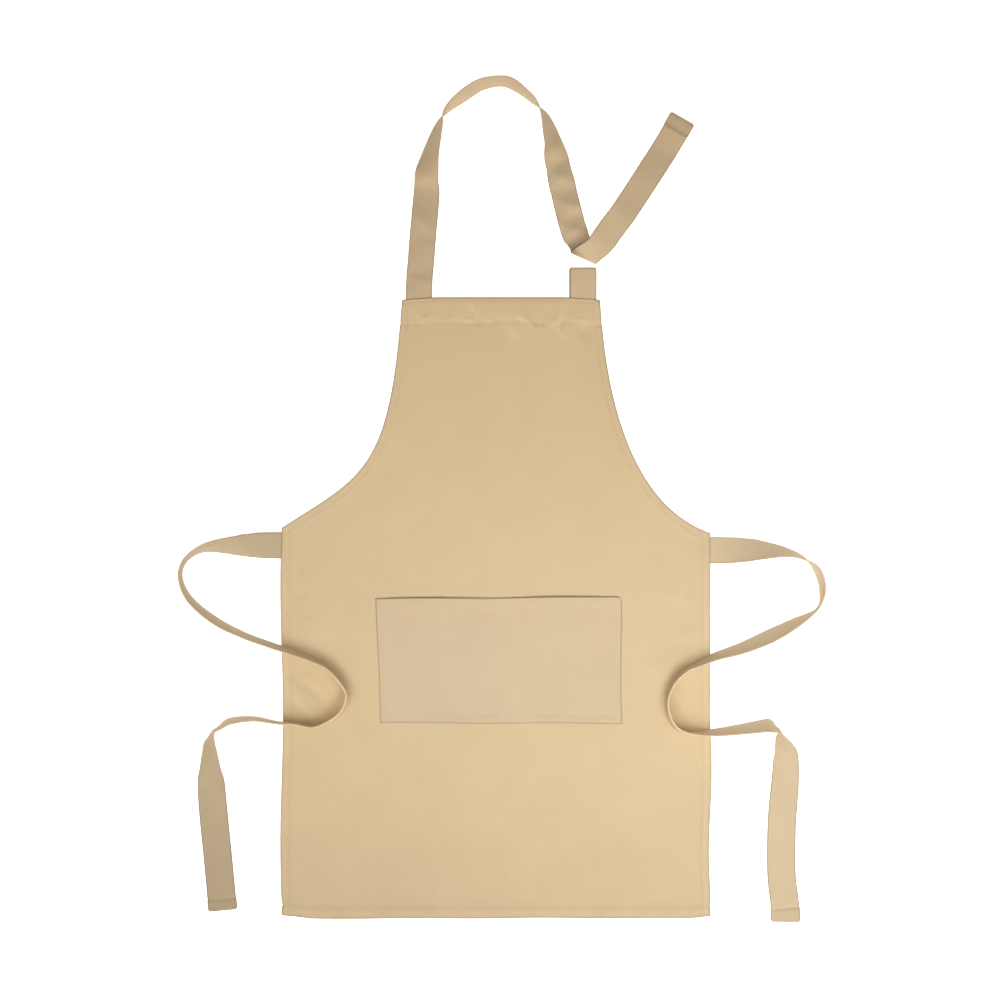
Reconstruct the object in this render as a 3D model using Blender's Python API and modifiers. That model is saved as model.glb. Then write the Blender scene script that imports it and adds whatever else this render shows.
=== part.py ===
"""A child's bib apron lying on its back: one cotton panel with turned hems, a patch pocket in two compartments,
a neck strap with a folded tail, a loop tab and two waist ties.

Metres. +X is the right side as seen from the front, +Y points to the neck and +Z out of the front face.
The origin is on the back face, on the centre line at the waist, where the armholes end.
"""

import math

import bmesh
import bpy
from mathutils import Vector

MM = 0.001
CLEARANCE = 0.3 * MM

# Body panel
BODY_WIDTH = 412.5 * MM
WAIST_TO_HEM = 375 * MM
WAIST_TO_BIB_TOP = 222 * MM
BIB_WIDTH = 190.5 * MM
BIB_LEAN = 4.8 * MM
PANEL_THICKNESS = 1.0 * MM
HEM_THICKNESS = 2.2 * MM
BIB_HEM = 25 * MM
ARMHOLE_HEM = 8 * MM
SIDE_HEM = 8.7 * MM
BOTTOM_HEM = 9.6 * MM
ARMHOLE_STEPS = 16
TIE_ANCHOR_DEPTH = 45 * MM

# Armhole curves: where each ends at the waist, and its two Bezier handles as (length, angle).
# The upper handle's angle leans out from straight down, the lower one's rises from level.
LEFT_ARMHOLE_END = Vector((-BODY_WIDTH / 2, 0, 0))
LEFT_UPPER_HANDLE = (170 * MM, math.radians(3.8))
LEFT_LOWER_HANDLE = (94 * MM, math.radians(33))
RIGHT_ARMHOLE_END = Vector((BODY_WIDTH / 2, -5 * MM, 0))
RIGHT_UPPER_HANDLE = (31 * MM, math.radians(4.6))
RIGHT_LOWER_HANDLE = (104 * MM, math.radians(19))

# Pocket
POCKET_WIDTH = 234 * MM
POCKET_HEIGHT = 120 * MM
POCKET_CENTRE_X = 3.5 * MM
POCKET_MOUTH_Y = -67 * MM
POCKET_SKEW = 2.6 * MM
POCKET_SLACK = 7.5 * MM
POCKET_MOUTH_HEM = 9 * MM
POCKET_SEAM_INSET = 2.5 * MM
POCKET_COLUMNS = 24
POCKET_ROWS = 8

# Straps
STRAP_WIDTH = 25.4 * MM
TIE_END_WIDTH = 27.4 * MM
STRAP_THICKNESS = 1.6 * MM
TAB_LENGTH = 29 * MM
TAB_SPREAD = 3.0 * MM
TAB_HEIGHT = 9.1 * MM
TAB_SEAM_DROP = 2.0 * MM
TAB_STEPS = 24
ROUTE_STEPS = 4
TAB_CENTRE_X = 84 * MM

# Thread
THREAD_RADIUS = 0.25 * MM
THREAD_LIFT = CLEARANCE + THREAD_RADIUS
ROW_INSET = 1.5 * MM
ROW_STEPS = 24
BIB_ROW_END = 2 * MM
ANCHOR_END = 2 * MM
ANCHOR_OUTER = 2.5 * MM
ANCHOR_INNER = 6 * MM
LEFT_END_HEM = 9.5 * MM
RIGHT_END_HEM = 11.5 * MM
TAIL_UPPER_ROW = 12 * MM
TAIL_LOWER_ROW = 14.5 * MM

# Strap routes, as (x, y, lift, lean): the strap's middle in mm, how far its lower edge is above the
# surface it lies on in mm, and how far it leans in degrees. At 0 it lies flat, at 90 it stands on edge,
# and past 90 it leans over to its other face.
NECK_STRAP_ROUTE = (
    (-74.2, 222.8, 0, 0),
    (-73.6, 240, 0, 0),
    (-72.1, 258, 0, 0),
    (-70.3, 281, 0, 0),
    (-66.9, 319, 0, 8),
    (-66.6, 338, 0, 34),
    (-63.2, 358, 0, 50),
    (-54.6, 387.6, 0, 75),
    (-47.4, 401.4, 0, 100),
    (-31.6, 415.3, 0, 114),
    (-15, 425.8, 0, 114),
    (2, 429.4, 0, 111),
    (13.9, 427.6, 0, 112),
    (26.1, 419.5, 0, 106),
    (37.2, 409.6, 0, 99),
    (47, 396, 0, 74),
    (54, 373, 0, 48),
    (59.1, 349, 0, 20),
    (66.2, 319, 0, 4),
    (74, 289, 0, 0),
    (83, 263, 0, 0),
)
STRAP_TAIL_ROUTE = (
    (89, 264, 2.0, 0),
    (99.3, 271.8, 2.0, 0),
    (111.5, 288.5, 0.6, 0),
    (123.1, 304, 0, 0),
    (143.1, 334.4, 0, 0),
    (162.9, 365.2, 0, 0),
    (179.8, 394.3, 0, 0),
)
LEFT_TIE_ROUTE = (
    (-207, -16.8, 0, 0),
    (-232, -16.5, 0, 22),
    (-258, -16.8, 0, 51),
    (-282, -19.8, 0, 74),
    (-298.8, -31.2, 0, 82),
    (-303.4, -48, 0, 83),
    (-294, -69, 0, 78),
    (-270.3, -89, 0, 75),
    (-243.4, -102.8, 1.2, 78),
    (-219.1, -111.7, 3.4, 79),
    (-198, -118.8, 3.4, 79),
    (-177, -126.4, 3.4, 80),
    (-161.5, -135.4, 3.4, 86),
    (-149, -151, 3.4, 94),
    (-145.2, -163, 3.4, 98),
    (-151, -177.4, 3.4, 94),
    (-165, -187.6, 3.4, 91),
    (-177.5, -191.4, 3.4, 92),
    (-192, -188.6, 3.4, 92),
    (-210, -187.2, 3.4, 94),
    (-233, -183.5, 1, 100),
    (-255, -185.8, 0, 105),
    (-270.7, -197.8, 0, 99),
    (-275.4, -214.2, 0, 56),
    (-274.8, -232, 0, 32),
    (-273.8, -250, 0, 0),
)
LEFT_TIE_END_ROUTE = (
    (-273.8, -250.9, 0, 0),
    (-271.2, -281, 0, 0),
    (-267.3, -320, 0, 0),
    (-262.8, -368, 0, 0),
)
RIGHT_TIE_ROUTE = (
    (207, -21.5, 0, 0),
    (230, -21.5, 0, 16),
    (254.1, -21.4, 0, 44),
    (278.4, -23.4, 0, 70),
    (296.2, -29.4, 0, 86),
    (308.7, -40.6, 0, 103),
    (313.9, -59, 0, 102),
    (309.2, -77.5, 0, 92),
    (287.5, -91.6, 0, 111),
    (262.7, -104.4, 0, 120),
    (237.4, -115.2, 1.4, 114),
    (212.3, -123.2, 3.4, 106),
    (197, -130, 3.4, 101),
    (184.5, -136, 3.4, 96),
    (173, -146.8, 3.4, 94),
    (166.4, -158.6, 3.4, 94),
    (164.3, -170, 3.4, 94),
    (167, -183, 3.4, 96),
    (174.6, -193.4, 3.4, 95),
    (188, -197.2, 3.4, 87),
    (210, -196.6, 3.4, 76),
    (235, -193.6, 1, 69),
    (258.5, -190.2, 0, 62),
    (266.6, -191.8, 0, 66),
    (270.4, -195.2, 0, 76),
    (273.6, -199.2, 0, 104),
    (276.2, -206, 0, 126),
    (278.6, -218, 0, 155),
    (278.8, -231, 0, 170),
    (278, -247, 0, 180),
)
RIGHT_TIE_END_ROUTE = (
    (278, -247.6, 0, 180),
    (275, -285, 0, 180),
    (274.6, -330, 0, 180),
    (277.3, -358, 0, 180),
    (278.5, -368, 0, 180),
    (278.6, -377.5, 0, 180),
)

COLOURS = {
    "body_cloth": (0.66, 0.50, 0.31, 1),
    "pocket_cloth": (0.69, 0.53, 0.34, 1),
    "strap_cloth": (0.53, 0.39, 0.24, 1),
    "thread": (0.74, 0.60, 0.41, 1),
}

for leftover in list(bpy.data.objects):
    bpy.data.objects.remove(leftover)

apron = bpy.data.collections.new("bib_apron")
cutters = bpy.data.collections.new("cutters")
bpy.context.scene.collection.children.link(apron)
bpy.context.scene.collection.children.link(cutters)


def make_material(name, colour):
    """A matt woven cloth or thread of one colour."""
    material = bpy.data.materials.new(name)
    material.use_nodes = True
    shader = material.node_tree.nodes["Principled BSDF"]
    shader.inputs["Base Color"].default_value = colour
    shader.inputs["Roughness"].default_value = 0.9
    shader.inputs["Metallic"].default_value = 0.0
    return material


materials = {name: make_material(name, colour) for name, colour in COLOURS.items()}


def add_object(name, data, material=None, collection=apron):
    """Links a new object to its collection, with its material."""
    made = bpy.data.objects.new(name, data)
    collection.objects.link(made)
    if material:
        data.materials.append(materials[material])
    return made


def mesh_copy(source, name, material=None, collection=apron):
    """Turns a curve object into a closed mesh object and removes the curve."""
    bpy.context.view_layer.update()
    mesh = bpy.data.meshes.new_from_object(source.evaluated_get(bpy.context.evaluated_depsgraph_get()))
    shell = bmesh.new()
    shell.from_mesh(mesh)
    bmesh.ops.remove_doubles(shell, verts=shell.verts, dist=0.01 * MM)
    shell.to_mesh(mesh)
    shell.free()
    mesh.materials.clear()
    made = add_object(name, mesh, material, collection)
    made.matrix_world = source.matrix_world
    bpy.data.objects.remove(source)
    return made


def armhole(inset, left):
    """The two ends of one armhole with their Bezier handles, moved in from the cloth's edge by inset."""
    side = -1 if left else 1
    upper_length, upper_angle = LEFT_UPPER_HANDLE if left else RIGHT_UPPER_HANDLE
    lower_length, lower_angle = LEFT_LOWER_HANDLE if left else RIGHT_LOWER_HANDLE
    top = Vector((BIB_LEAN + side * (BIB_WIDTH / 2 - inset), WAIST_TO_BIB_TOP, 0))
    end = Vector(LEFT_ARMHOLE_END if left else RIGHT_ARMHOLE_END)
    end += inset * Vector((-side * 0.2, -1, 0))
    upper = Vector((side * math.sin(upper_angle), -math.cos(upper_angle), 0)) * upper_length
    lower = Vector((-side * math.cos(lower_angle), math.sin(lower_angle), 0)) * lower_length
    return top, top + upper, end + lower, end


def bezier_point(a, b, c, d, t):
    """The point at t of the cubic Bezier curve through its four control points."""
    s = 1 - t
    return a * s**3 + b * (3 * s * s * t) + c * (3 * s * t * t) + d * t**3


def body_outline(name, armhole_inset, side_inset, bottom_inset, top_inset, bottom_z, top_z):
    """The panel's outline, moved in by the insets, as a flat plate between two heights."""
    hem_y = -WAIST_TO_HEM + bottom_inset
    edges = []
    for side in (-1, 1):
        top, upper, lower, waist = armhole(armhole_inset, side < 0)
        waist.x = side * (BODY_WIDTH / 2 - side_inset)
        top.y -= top_inset
        steps = [step / ARMHOLE_STEPS for step in range(ARMHOLE_STEPS + 1)]
        curve_points = [bezier_point(top, upper, lower, waist, t) for t in steps]
        edges.append(curve_points + [Vector((waist.x, hem_y, 0))])
    outline = edges[0] + edges[1][::-1]
    curve = bpy.data.curves.new(name, "CURVE")
    curve.dimensions = "2D"
    curve.fill_mode = "BOTH"
    curve.extrude = (top_z - bottom_z) / 2
    spline = curve.splines.new("POLY")
    spline.points.add(len(outline) - 1)
    spline.use_cyclic_u = True
    for point, place in zip(spline.points, outline):
        point.co = (*place, 1)
    plate = add_object(name + "_curve", curve)
    plate.location.z = (top_z + bottom_z) / 2
    return plate


def make_body():
    """The panel: one cloth, thicker round its edge where the hems are turned over."""
    plate = body_outline("apron_body", 0, 0, 0, 0, 0, HEM_THICKNESS)
    body = mesh_copy(plate, "apron_body", "body_cloth")
    recess = body_outline(
        "hem_recess", ARMHOLE_HEM, SIDE_HEM, BOTTOM_HEM, BIB_HEM, PANEL_THICKNESS, 2 * HEM_THICKNESS
    )
    recess = mesh_copy(recess, "hem_recess", collection=cutters)
    recess.hide_render = True
    recess.display_type = "WIRE"
    cut = body.modifiers.new("hem_recess", "BOOLEAN")
    cut.operation = "DIFFERENCE"
    cut.object = recess


def pocket_point(across, up, above=0):
    """A point of the pocket's outer face: across and up run from 0 to 1 over the cloth."""
    bulge = abs(math.sin(2 * math.pi * across)) * math.sin(up * math.pi / 2)
    x = POCKET_CENTRE_X + (across - 0.5) * POCKET_WIDTH + (1 - up) * POCKET_SKEW
    y = POCKET_MOUTH_Y - (1 - up) * POCKET_HEIGHT
    z = PANEL_THICKNESS + CLEARANCE + PANEL_THICKNESS + bulge * POCKET_SLACK + above
    return Vector((x, y, z))


def make_pocket():
    """The patch pocket: slack cloth over two compartments, flat at its three sewn edges and its divider."""
    cloth = bmesh.new()
    bmesh.ops.create_grid(cloth, x_segments=POCKET_COLUMNS, y_segments=POCKET_ROWS, size=0.5)
    for vert in cloth.verts:
        vert.co = pocket_point(vert.co.x + 0.5, vert.co.y + 0.5)
    mesh = bpy.data.meshes.new("pocket_panel")
    cloth.to_mesh(mesh)
    cloth.free()
    pocket = add_object("pocket_panel", mesh, "pocket_cloth")
    shell = pocket.modifiers.new("cloth", "SOLIDIFY")
    shell.thickness = PANEL_THICKNESS
    shell.offset = -1


def smooth_route(route):
    """Points on the smooth curve through a route's own points, a few for each stretch between them."""
    points = [route[0], *route, route[-1]]
    smooth = []
    for before, start, end, after in zip(points, points[1:], points[2:], points[3:]):
        for step in range(ROUTE_STEPS):
            t = step / ROUTE_STEPS
            weights = (
                (-t + 2 * t**2 - t**3) / 2,
                (2 - 5 * t**2 + 3 * t**3) / 2,
                (t + 4 * t**2 - 3 * t**3) / 2,
                (t**3 - t**2) / 2,
            )
            knots = (before, start, end, after)
            smooth.append([sum(w * knot[i] for w, knot in zip(weights, knots)) for i in range(4)])
    return smooth + [route[-1]]


def make_strap(name, route, width=STRAP_WIDTH):
    """A flat strap along its route, leaning and twisting as the route says."""
    stations = smooth_route(route)
    curve = bpy.data.curves.new(name, "CURVE")
    curve.dimensions = "3D"
    curve.twist_mode = "Z_UP"
    curve.extrude = width / 2
    spline = curve.splines.new("POLY")
    spline.points.add(len(stations) - 1)
    for point, (x, y, lift, lean) in zip(spline.points, stations):
        angle = math.radians(lean)
        middle = width / 2 * abs(math.sin(angle)) + STRAP_THICKNESS / 2 * abs(math.cos(angle))
        point.co = (x * MM, y * MM, max(lift, 0) * MM + middle, 1)
        point.tilt = math.pi / 2 - angle
    strap = add_object(name, curve, "strap_cloth")
    cloth = strap.modifiers.new("cloth", "SOLIDIFY")
    cloth.thickness = STRAP_THICKNESS
    cloth.offset = 0


def make_loop_tab():
    """A short strap folded back on itself at the bib's top edge, sprung open so that the neck strap goes through."""
    half = STRAP_THICKNESS / 2
    seam = WAIST_TO_BIB_TOP + CLEARANCE
    reach = TAB_LENGTH - CLEARANCE - half
    seam_gap = half + CLEARANCE / 2
    points = []
    for step in range(TAB_STEPS + 1):
        turn = step / TAB_STEPS
        out = math.sin(math.pi * turn)
        leaf = seam_gap * (2 * turn - 1) - TAB_SPREAD * math.sin(2 * math.pi * turn)
        points.append((seam + reach * out, TAB_HEIGHT / 2 + leaf - TAB_SEAM_DROP * (1 - out) ** 2))
    curve = bpy.data.curves.new("loop_tab", "CURVE")
    curve.dimensions = "2D"
    curve.fill_mode = "NONE"
    curve.extrude = STRAP_WIDTH / 2
    spline = curve.splines.new("POLY")
    spline.points.add(len(points) - 1)
    for point, place in zip(spline.points, points):
        point.co = (*place, 0, 1)
    tab = add_object("loop_tab", curve, "strap_cloth")
    tab.rotation_euler = (math.pi / 2, 0, math.pi / 2)
    tab.location.x = TAB_CENTRE_X
    cloth = tab.modifiers.new("cloth", "SOLIDIFY")
    cloth.thickness = STRAP_THICKNESS
    cloth.offset = 0


def make_thread(name, points, cyclic=False):
    """A row of stitching as one thread lying on the cloth."""
    curve = bpy.data.curves.new(name, "CURVE")
    curve.dimensions = "3D"
    curve.bevel_depth = THREAD_RADIUS
    curve.bevel_resolution = 1
    curve.use_fill_caps = True
    spline = curve.splines.new("POLY")
    spline.points.add(len(points) - 1)
    spline.use_cyclic_u = cyclic
    for point, place in zip(spline.points, points):
        point.co = (*place, 1)
    return add_object(name, curve, "thread")


def along(start, end, count):
    """Evenly spaced steps from start to end."""
    return [start + (end - start) * step / (count - 1) for step in range(count)]


def make_hem_threads():
    """The stitching that holds the panel's hems."""
    z = HEM_THICKNESS + THREAD_LIFT
    bib_row = WAIST_TO_BIB_TOP - BIB_HEM + ROW_INSET
    half_bib = BIB_WIDTH / 2 - BIB_ROW_END
    make_thread("bib_hem_thread", [(BIB_LEAN + x, bib_row, z) for x in (-half_bib, 0, half_bib)])
    half_body = BODY_WIDTH / 2
    bottom_row = -WAIST_TO_HEM + BOTTOM_HEM - ROW_INSET
    half_row = half_body - SIDE_HEM - ROW_INSET
    make_thread("bottom_hem_thread", [(x, bottom_row, z) for x in (-half_row, 0, half_row)])
    for side, name in ((-1, "left"), (1, "right")):
        x = side * (half_body - SIDE_HEM + ROW_INSET)
        rows = ((x, bottom_row, z), (x, -WAIST_TO_HEM / 2, z), (x, -TIE_ANCHOR_DEPTH, z))
        make_thread(name + "_side_hem_thread", rows)
        top, upper, lower, end = armhole(ARMHOLE_HEM - ROW_INSET, side < 0)
        edge = [bezier_point(top, upper, lower, end, step / ROW_STEPS) for step in range(1, ROW_STEPS)]
        edge = [p for p in edge if p.y < bib_row - 2 * ROW_INSET]
        make_thread(name + "_armhole_thread", [(p.x, p.y, z) for p in edge])


def make_pocket_threads():
    """The pocket's stitching: round three sides, up the divider and along the mouth's hem."""
    side = POCKET_SEAM_INSET / POCKET_WIDTH
    foot = POCKET_SEAM_INSET / POCKET_HEIGHT
    down = [(side, up) for up in along(0.99, foot, 12)]
    across = [(x, foot) for x in along(side, 1 - side, 25)]
    back_up = [(1 - side, up) for up in along(foot, 0.99, 12)]
    seam = down + across[1:-1] + back_up
    make_thread("pocket_seam_thread", [pocket_point(x, up, THREAD_LIFT) for x, up in seam])
    mouth = 1 - POCKET_MOUTH_HEM / POCKET_HEIGHT
    divider = [(0.5, up) for up in along(2.5 * foot, mouth - foot, 12)]
    make_thread("pocket_divider_thread", [pocket_point(x, up, THREAD_LIFT) for x, up in divider])
    hem = [(x, mouth) for x in along(2.5 * side, 1 - 2.5 * side, 41)]
    make_thread("pocket_mouth_thread", [pocket_point(x, up, THREAD_LIFT) for x, up in hem])


def make_anchor_threads():
    """The stitched boxes that hold the straps in the hems."""
    z = HEM_THICKNESS + THREAD_LIFT
    half = STRAP_WIDTH / 2 - ANCHOR_END
    for name, side, route in (("left", -1, LEFT_TIE_ROUTE), ("right", 1, RIGHT_TIE_ROUTE)):
        outer = side * (BODY_WIDTH / 2 - ANCHOR_OUTER)
        inner = side * (BODY_WIDTH / 2 - ANCHOR_INNER)
        top, foot = route[0][1] * MM + half, route[0][1] * MM - half
        box = [(outer, top, z), (inner, top, z), (inner, foot, z), (outer, foot, z)]
        make_thread(name + "_tie_anchor_thread", box, cyclic=True)
    for name, x in (("neck_strap", NECK_STRAP_ROUTE[0][0] * MM), ("loop_tab", TAB_CENTRE_X)):
        y = WAIST_TO_BIB_TOP - ANCHOR_OUTER
        make_thread(name + "_anchor_thread", [(x - half, y, z), (x, y, z), (x + half, y, z)])


def make_end_threads():
    """The rows that hold the turned ends of the straps."""
    z = STRAP_THICKNESS + THREAD_LIFT
    half = STRAP_WIDTH / 2 - ROW_INSET
    rows = (
        ("left_tie_end_thread", LEFT_TIE_END_ROUTE, LEFT_END_HEM),
        ("right_tie_end_thread", RIGHT_TIE_END_ROUTE, RIGHT_END_HEM),
        ("strap_tail_upper_thread", STRAP_TAIL_ROUTE, TAIL_UPPER_ROW),
        ("strap_tail_lower_thread", STRAP_TAIL_ROUTE, TAIL_LOWER_ROW),
    )
    for name, route, inset in rows:
        end = Vector(route[-1][:2]).to_3d() * MM
        back = (Vector(route[-2][:2]).to_3d() * MM - end).normalized()
        across = Vector((-back.y, back.x, 0))
        middle = end + back * inset
        make_thread(name, [(middle + across * s * half + Vector((0, 0, z))) for s in (-1, 0, 1)])


make_body()
make_pocket()
make_strap("neck_strap", NECK_STRAP_ROUTE)
make_strap("strap_tail", STRAP_TAIL_ROUTE)
make_strap("left_tie", LEFT_TIE_ROUTE)
make_strap("left_tie_end", LEFT_TIE_END_ROUTE, TIE_END_WIDTH)
make_strap("right_tie", RIGHT_TIE_ROUTE)
make_strap("right_tie_end", RIGHT_TIE_END_ROUTE, TIE_END_WIDTH)
make_loop_tab()
make_hem_threads()
make_pocket_threads()
make_anchor_threads()
make_end_threads()
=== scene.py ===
"""A child's bib apron of beige twill, on its back on a pale floor with its neck strap and ties laid out.

The cloth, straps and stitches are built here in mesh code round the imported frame. Metres, in the frame's
axes: +X is the right side as seen from the front, +Y points to the neck and +Z out of the front face.
"""

import math

import bpy
import numpy as np
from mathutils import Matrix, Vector, geometry, kdtree


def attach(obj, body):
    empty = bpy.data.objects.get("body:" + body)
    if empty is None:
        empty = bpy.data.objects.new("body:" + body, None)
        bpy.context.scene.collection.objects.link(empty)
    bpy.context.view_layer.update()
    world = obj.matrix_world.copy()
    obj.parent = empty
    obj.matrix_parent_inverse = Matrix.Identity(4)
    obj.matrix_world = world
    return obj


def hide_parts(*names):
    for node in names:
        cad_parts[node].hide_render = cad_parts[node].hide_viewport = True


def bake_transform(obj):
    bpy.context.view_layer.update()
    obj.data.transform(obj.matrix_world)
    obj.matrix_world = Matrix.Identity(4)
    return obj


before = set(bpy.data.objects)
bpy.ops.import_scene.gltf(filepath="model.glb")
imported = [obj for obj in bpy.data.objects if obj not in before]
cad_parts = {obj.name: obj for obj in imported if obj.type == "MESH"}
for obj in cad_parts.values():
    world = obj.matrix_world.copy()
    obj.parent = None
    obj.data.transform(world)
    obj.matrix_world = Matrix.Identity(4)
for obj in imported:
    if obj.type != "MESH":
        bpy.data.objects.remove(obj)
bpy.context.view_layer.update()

MM = 0.001

# Body panel
BODY_WIDTH = 412.5 * MM
WAIST_TO_HEM = 375 * MM
WAIST_TO_BIB_TOP = 222 * MM
BIB_WIDTH = 190.5 * MM
BIB_LEAN = 4.8 * MM
BIB_HEM = 25 * MM
BIB_DROOP = 2.7 * MM
ARMHOLE_HEM = 8 * MM
SIDE_HEM = 8.7 * MM
BOTTOM_HEM = 9.6 * MM
HEMS = {
    "bottom": BOTTOM_HEM,
    "right_side": SIDE_HEM,
    "right_armhole": ARMHOLE_HEM,
    "bib": BIB_HEM,
    "left_armhole": ARMHOLE_HEM,
    "left_side": SIDE_HEM,
}
CORNER_DENT = 1.2 * MM
SIDE_SWAY = 1.3 * MM
BIB_NICK = 0.7 * MM
CLOTH = 0.5 * MM
TWILL = 0.72 * MM
RIB_SLANT = math.radians(62)
PANEL_TOP = 1.05 * MM
HEM_TOP = 2.15 * MM
CLOTH_ROLL = 0.5 * MM
# Width of the painted dark outline of shade along the panel's and pocket's edges
SHADED_RIM = 1.2 * MM
ROW_INSET = 1.5 * MM
EDGE_STEP = 1.6 * MM
GRID_STEP = 3.0 * MM
RINGS = [d * MM for d in (0, 0.15, 0.45, 1.0, 1.9, 3.2, 4.8, 6.2, 7.0, 7.7, 8.4, 9.2, 10.2, 11.6)]
TURNED_ALLOWANCE = 8 * MM

# Where each side's armhole ends at the waist, and the curve's upper and lower handles as (length, degrees).
WAIST = {-1: (-BODY_WIDTH / 2, 0), 1: (BODY_WIDTH / 2, -5 * MM)}
ARMHOLE_HANDLES = {-1: ((170 * MM, 3.8), (94 * MM, 33)), 1: ((31 * MM, 4.6), (104 * MM, 19))}

BIB_SEAM_Y = WAIST_TO_BIB_TOP - BIB_HEM + ROW_INSET

# Pocket
POCKET_CORNERS = {
    "top_left": np.array((-115.4, -67.8)) * MM,
    "top_right": np.array((120.4, -66.2)) * MM,
    "foot_left": np.array((-111.6, -187.6)) * MM,
    "foot_right": np.array((121.2, -188.2)) * MM,
}
POCKET_WIDTH = 235.5 * MM
POCKET_LENGTH = 120 * MM
POCKET_GAP = 0.25 * MM
POCKET_SLACK = 1.4 * MM
POCKET_GAPE = 0.5 * MM
POCKET_HEM = 9 * MM
POCKET_ROW_INSET = 2.5 * MM
POCKET_CELL = 1.7 * MM
POCKET_ROUNDING = 5 * MM

# Straps
STRAP_WIDTH = 25.4 * MM
STRAP_THICKNESS = 1.5 * MM
STATION_STEP = 2.0 * MM
TIE_END_WIDTH = 27.4 * MM
TWIST_END = 290 * MM
TAB_CENTRE_X = 84 * MM
END_CORNER = 2.4 * MM
END_REACH = 5 * MM
RIM_WIDTH = 1.3 * MM
RIM_LIGHT = 0.16
LOWEST = 0.02 * MM
KNEE_HALF = 14 * MM
TAIL_HEM = 13 * MM
TAIL_ROWS = {"upper": 11.5 * MM, "lower": 14 * MM}
EDGE_CHANNEL = 0.12 * MM
BACK_WEAVE_SHIFT = 0.05
NECK_STRAP_X = -74.5 * MM
TAB_REACH = 28.2 * MM
TAB_APART = 2.6 * MM
UP = np.array((0.0, 0.0, 1.0))

# Stitches
STITCH_PITCH = 2.9 * MM
STITCH_LENGTH = 2.2 * MM
STITCH_RADIUS = 0.24 * MM
STITCH_SIDES = 6
# A thread's rings from its middle to its end, as (place along, girth, arch).
STITCH_HALF = ((0.15, 1.0, 0.12), (0.4, 0.85, -0.02), (0.5, 0.4, -0.25))
STITCH_PROFILE = [(-along, girth, arch) for along, girth, arch in STITCH_HALF[::-1]] + list(STITCH_HALF)
ANCHOR_PITCH = 2.5 * MM
ROW_END = 0.975

# Metres from band to band in a wave texture of scale 1.
WAVE_PERIOD = 0.314

# Strap routes, as (x, y, lift, lean): the strap's middle in mm, how far its lower edge is above the floor
# in mm, and how far it leans in degrees. At 0 it lies flat, at 90 it stands on edge, and past 90 it leans to
# its other face.
NECK_STRAP_ROUTE = (
    (-74.8, 210, 0.2, 0), (-74.2, 222.8, 0, 0), (-73.6, 240, 0, 0), (-72.1, 258, 0, 0),
    (-70.3, 281, 0, 0), (-66.9, 319, 0, 8), (-65.9, 338, 0, 27), (-63.2, 358, 0, 50),
    (-54.6, 387.6, 0, 75), (-47.4, 401.4, 0, 100), (-31.6, 415.3, 0, 114), (-15, 425.8, 0, 114),
    (2, 429.4, 0, 111), (13.9, 427.6, 0, 112), (26.1, 419.5, 0, 106), (37.2, 409.6, 0, 99),
    (47, 396, 0, 74), (54, 373, 0, 48), (59.1, 349, 0, 20), (66.2, 319, 0, 4), (74, 289, 0, 0),
    (81.4, 268.5, 0, 0), (84.6, 260.5, 0, 0),
)
STRAP_TAIL_ROUTE = (
    (89, 264, 2.0, 0), (99.3, 271.8, 2.0, 0), (111.5, 288.5, 0.6, 0), (123.1, 304, 0, 0),
    (143.1, 334.4, 0, 0), (162.9, 365.2, 0, 0), (179.8, 394.3, 0, 0),
)
LEFT_TIE_ROUTE = (
    (-196, -16.8, 0.2, 0), (-207, -16.8, 0.1, 0), (-232, -16.5, 0, 22), (-258, -16.8, 0, 51),
    (-282, -19.8, 0, 74), (-298.8, -31.2, 0, 82), (-303.4, -48, 0, 83), (-294, -69, 0, 78),
    (-270.3, -89, 0, 75), (-243.4, -102.8, 1.2, 78), (-219.1, -111.7, 3.4, 79), (-198, -118.8, 3.4, 79),
    (-177, -126.4, 3.4, 80), (-161.5, -135.4, 3.4, 86), (-149, -151, 3.4, 93), (-145.2, -163, 3.4, 96),
    (-151, -177.4, 3.4, 93), (-165, -187.6, 3.4, 91), (-177.5, -191.4, 3.4, 92),
    (-192, -188.6, 3.4, 92), (-210, -187.2, 3.4, 94), (-233, -183.5, 1, 98), (-255, -185.6, 0, 102),
    (-264.5, -191.2, 0, 98), (-271.4, -197.2, 0, 88), (-275.2, -206.5, 0, 68), (-275.4, -214.2, 0, 59),
    (-274.8, -232, 0, 38), (-273.8, -250, 0, 0), (-271.2, -281, 0, 0), (-267.3, -320, 0, 0),
    (-262.8, -368, 0, 0),
)
RIGHT_TIE_ROUTE = (
    (196, -21.5, 0.2, 0), (207, -21.5, 0.1, 0), (230, -21.5, 0, 16), (254.1, -21.4, 0, 44),
    (278.4, -23.4, 0, 70), (296.2, -29.4, 0, 86), (308.7, -40.6, 0, 103), (313.9, -59, 0, 102),
    (309.2, -77.5, 0, 92), (287.5, -91.6, 0, 111), (262.7, -104.4, 0, 120), (237.4, -115.2, 1.4, 114),
    (212.3, -123.2, 3.4, 106), (197, -130, 3.4, 101), (184.5, -136, 3.4, 96), (173, -146.8, 3.4, 94),
    (166.4, -158.6, 3.4, 94), (164.3, -170, 3.4, 94), (167, -183, 3.4, 96), (174.6, -193.4, 3.4, 95),
    (188, -197.2, 3.4, 87), (210, -196.6, 3.4, 76), (235, -193.6, 1, 69), (258.5, -190.2, 0, 62),
    (262.3, -190.2, 0, 61), (266.6, -193, 0, 73), (270.4, -195.4, 0, 84), (272, -197.6, 0, 96),
    (272.6, -200.1, 0, 106), (274.9, -206, 0, 122), (277.4, -213, 0, 140), (278.8, -218, 0, 155),
    (278.8, -231, 0, 170), (278, -247, 0, 180), (275, -285, 0, 180), (274.6, -330, 0, 180),
    (277.3, -357, 0, 180), (278.6, -368, 0, 180), (278.6, -379.2, 0, 180),
)
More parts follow.
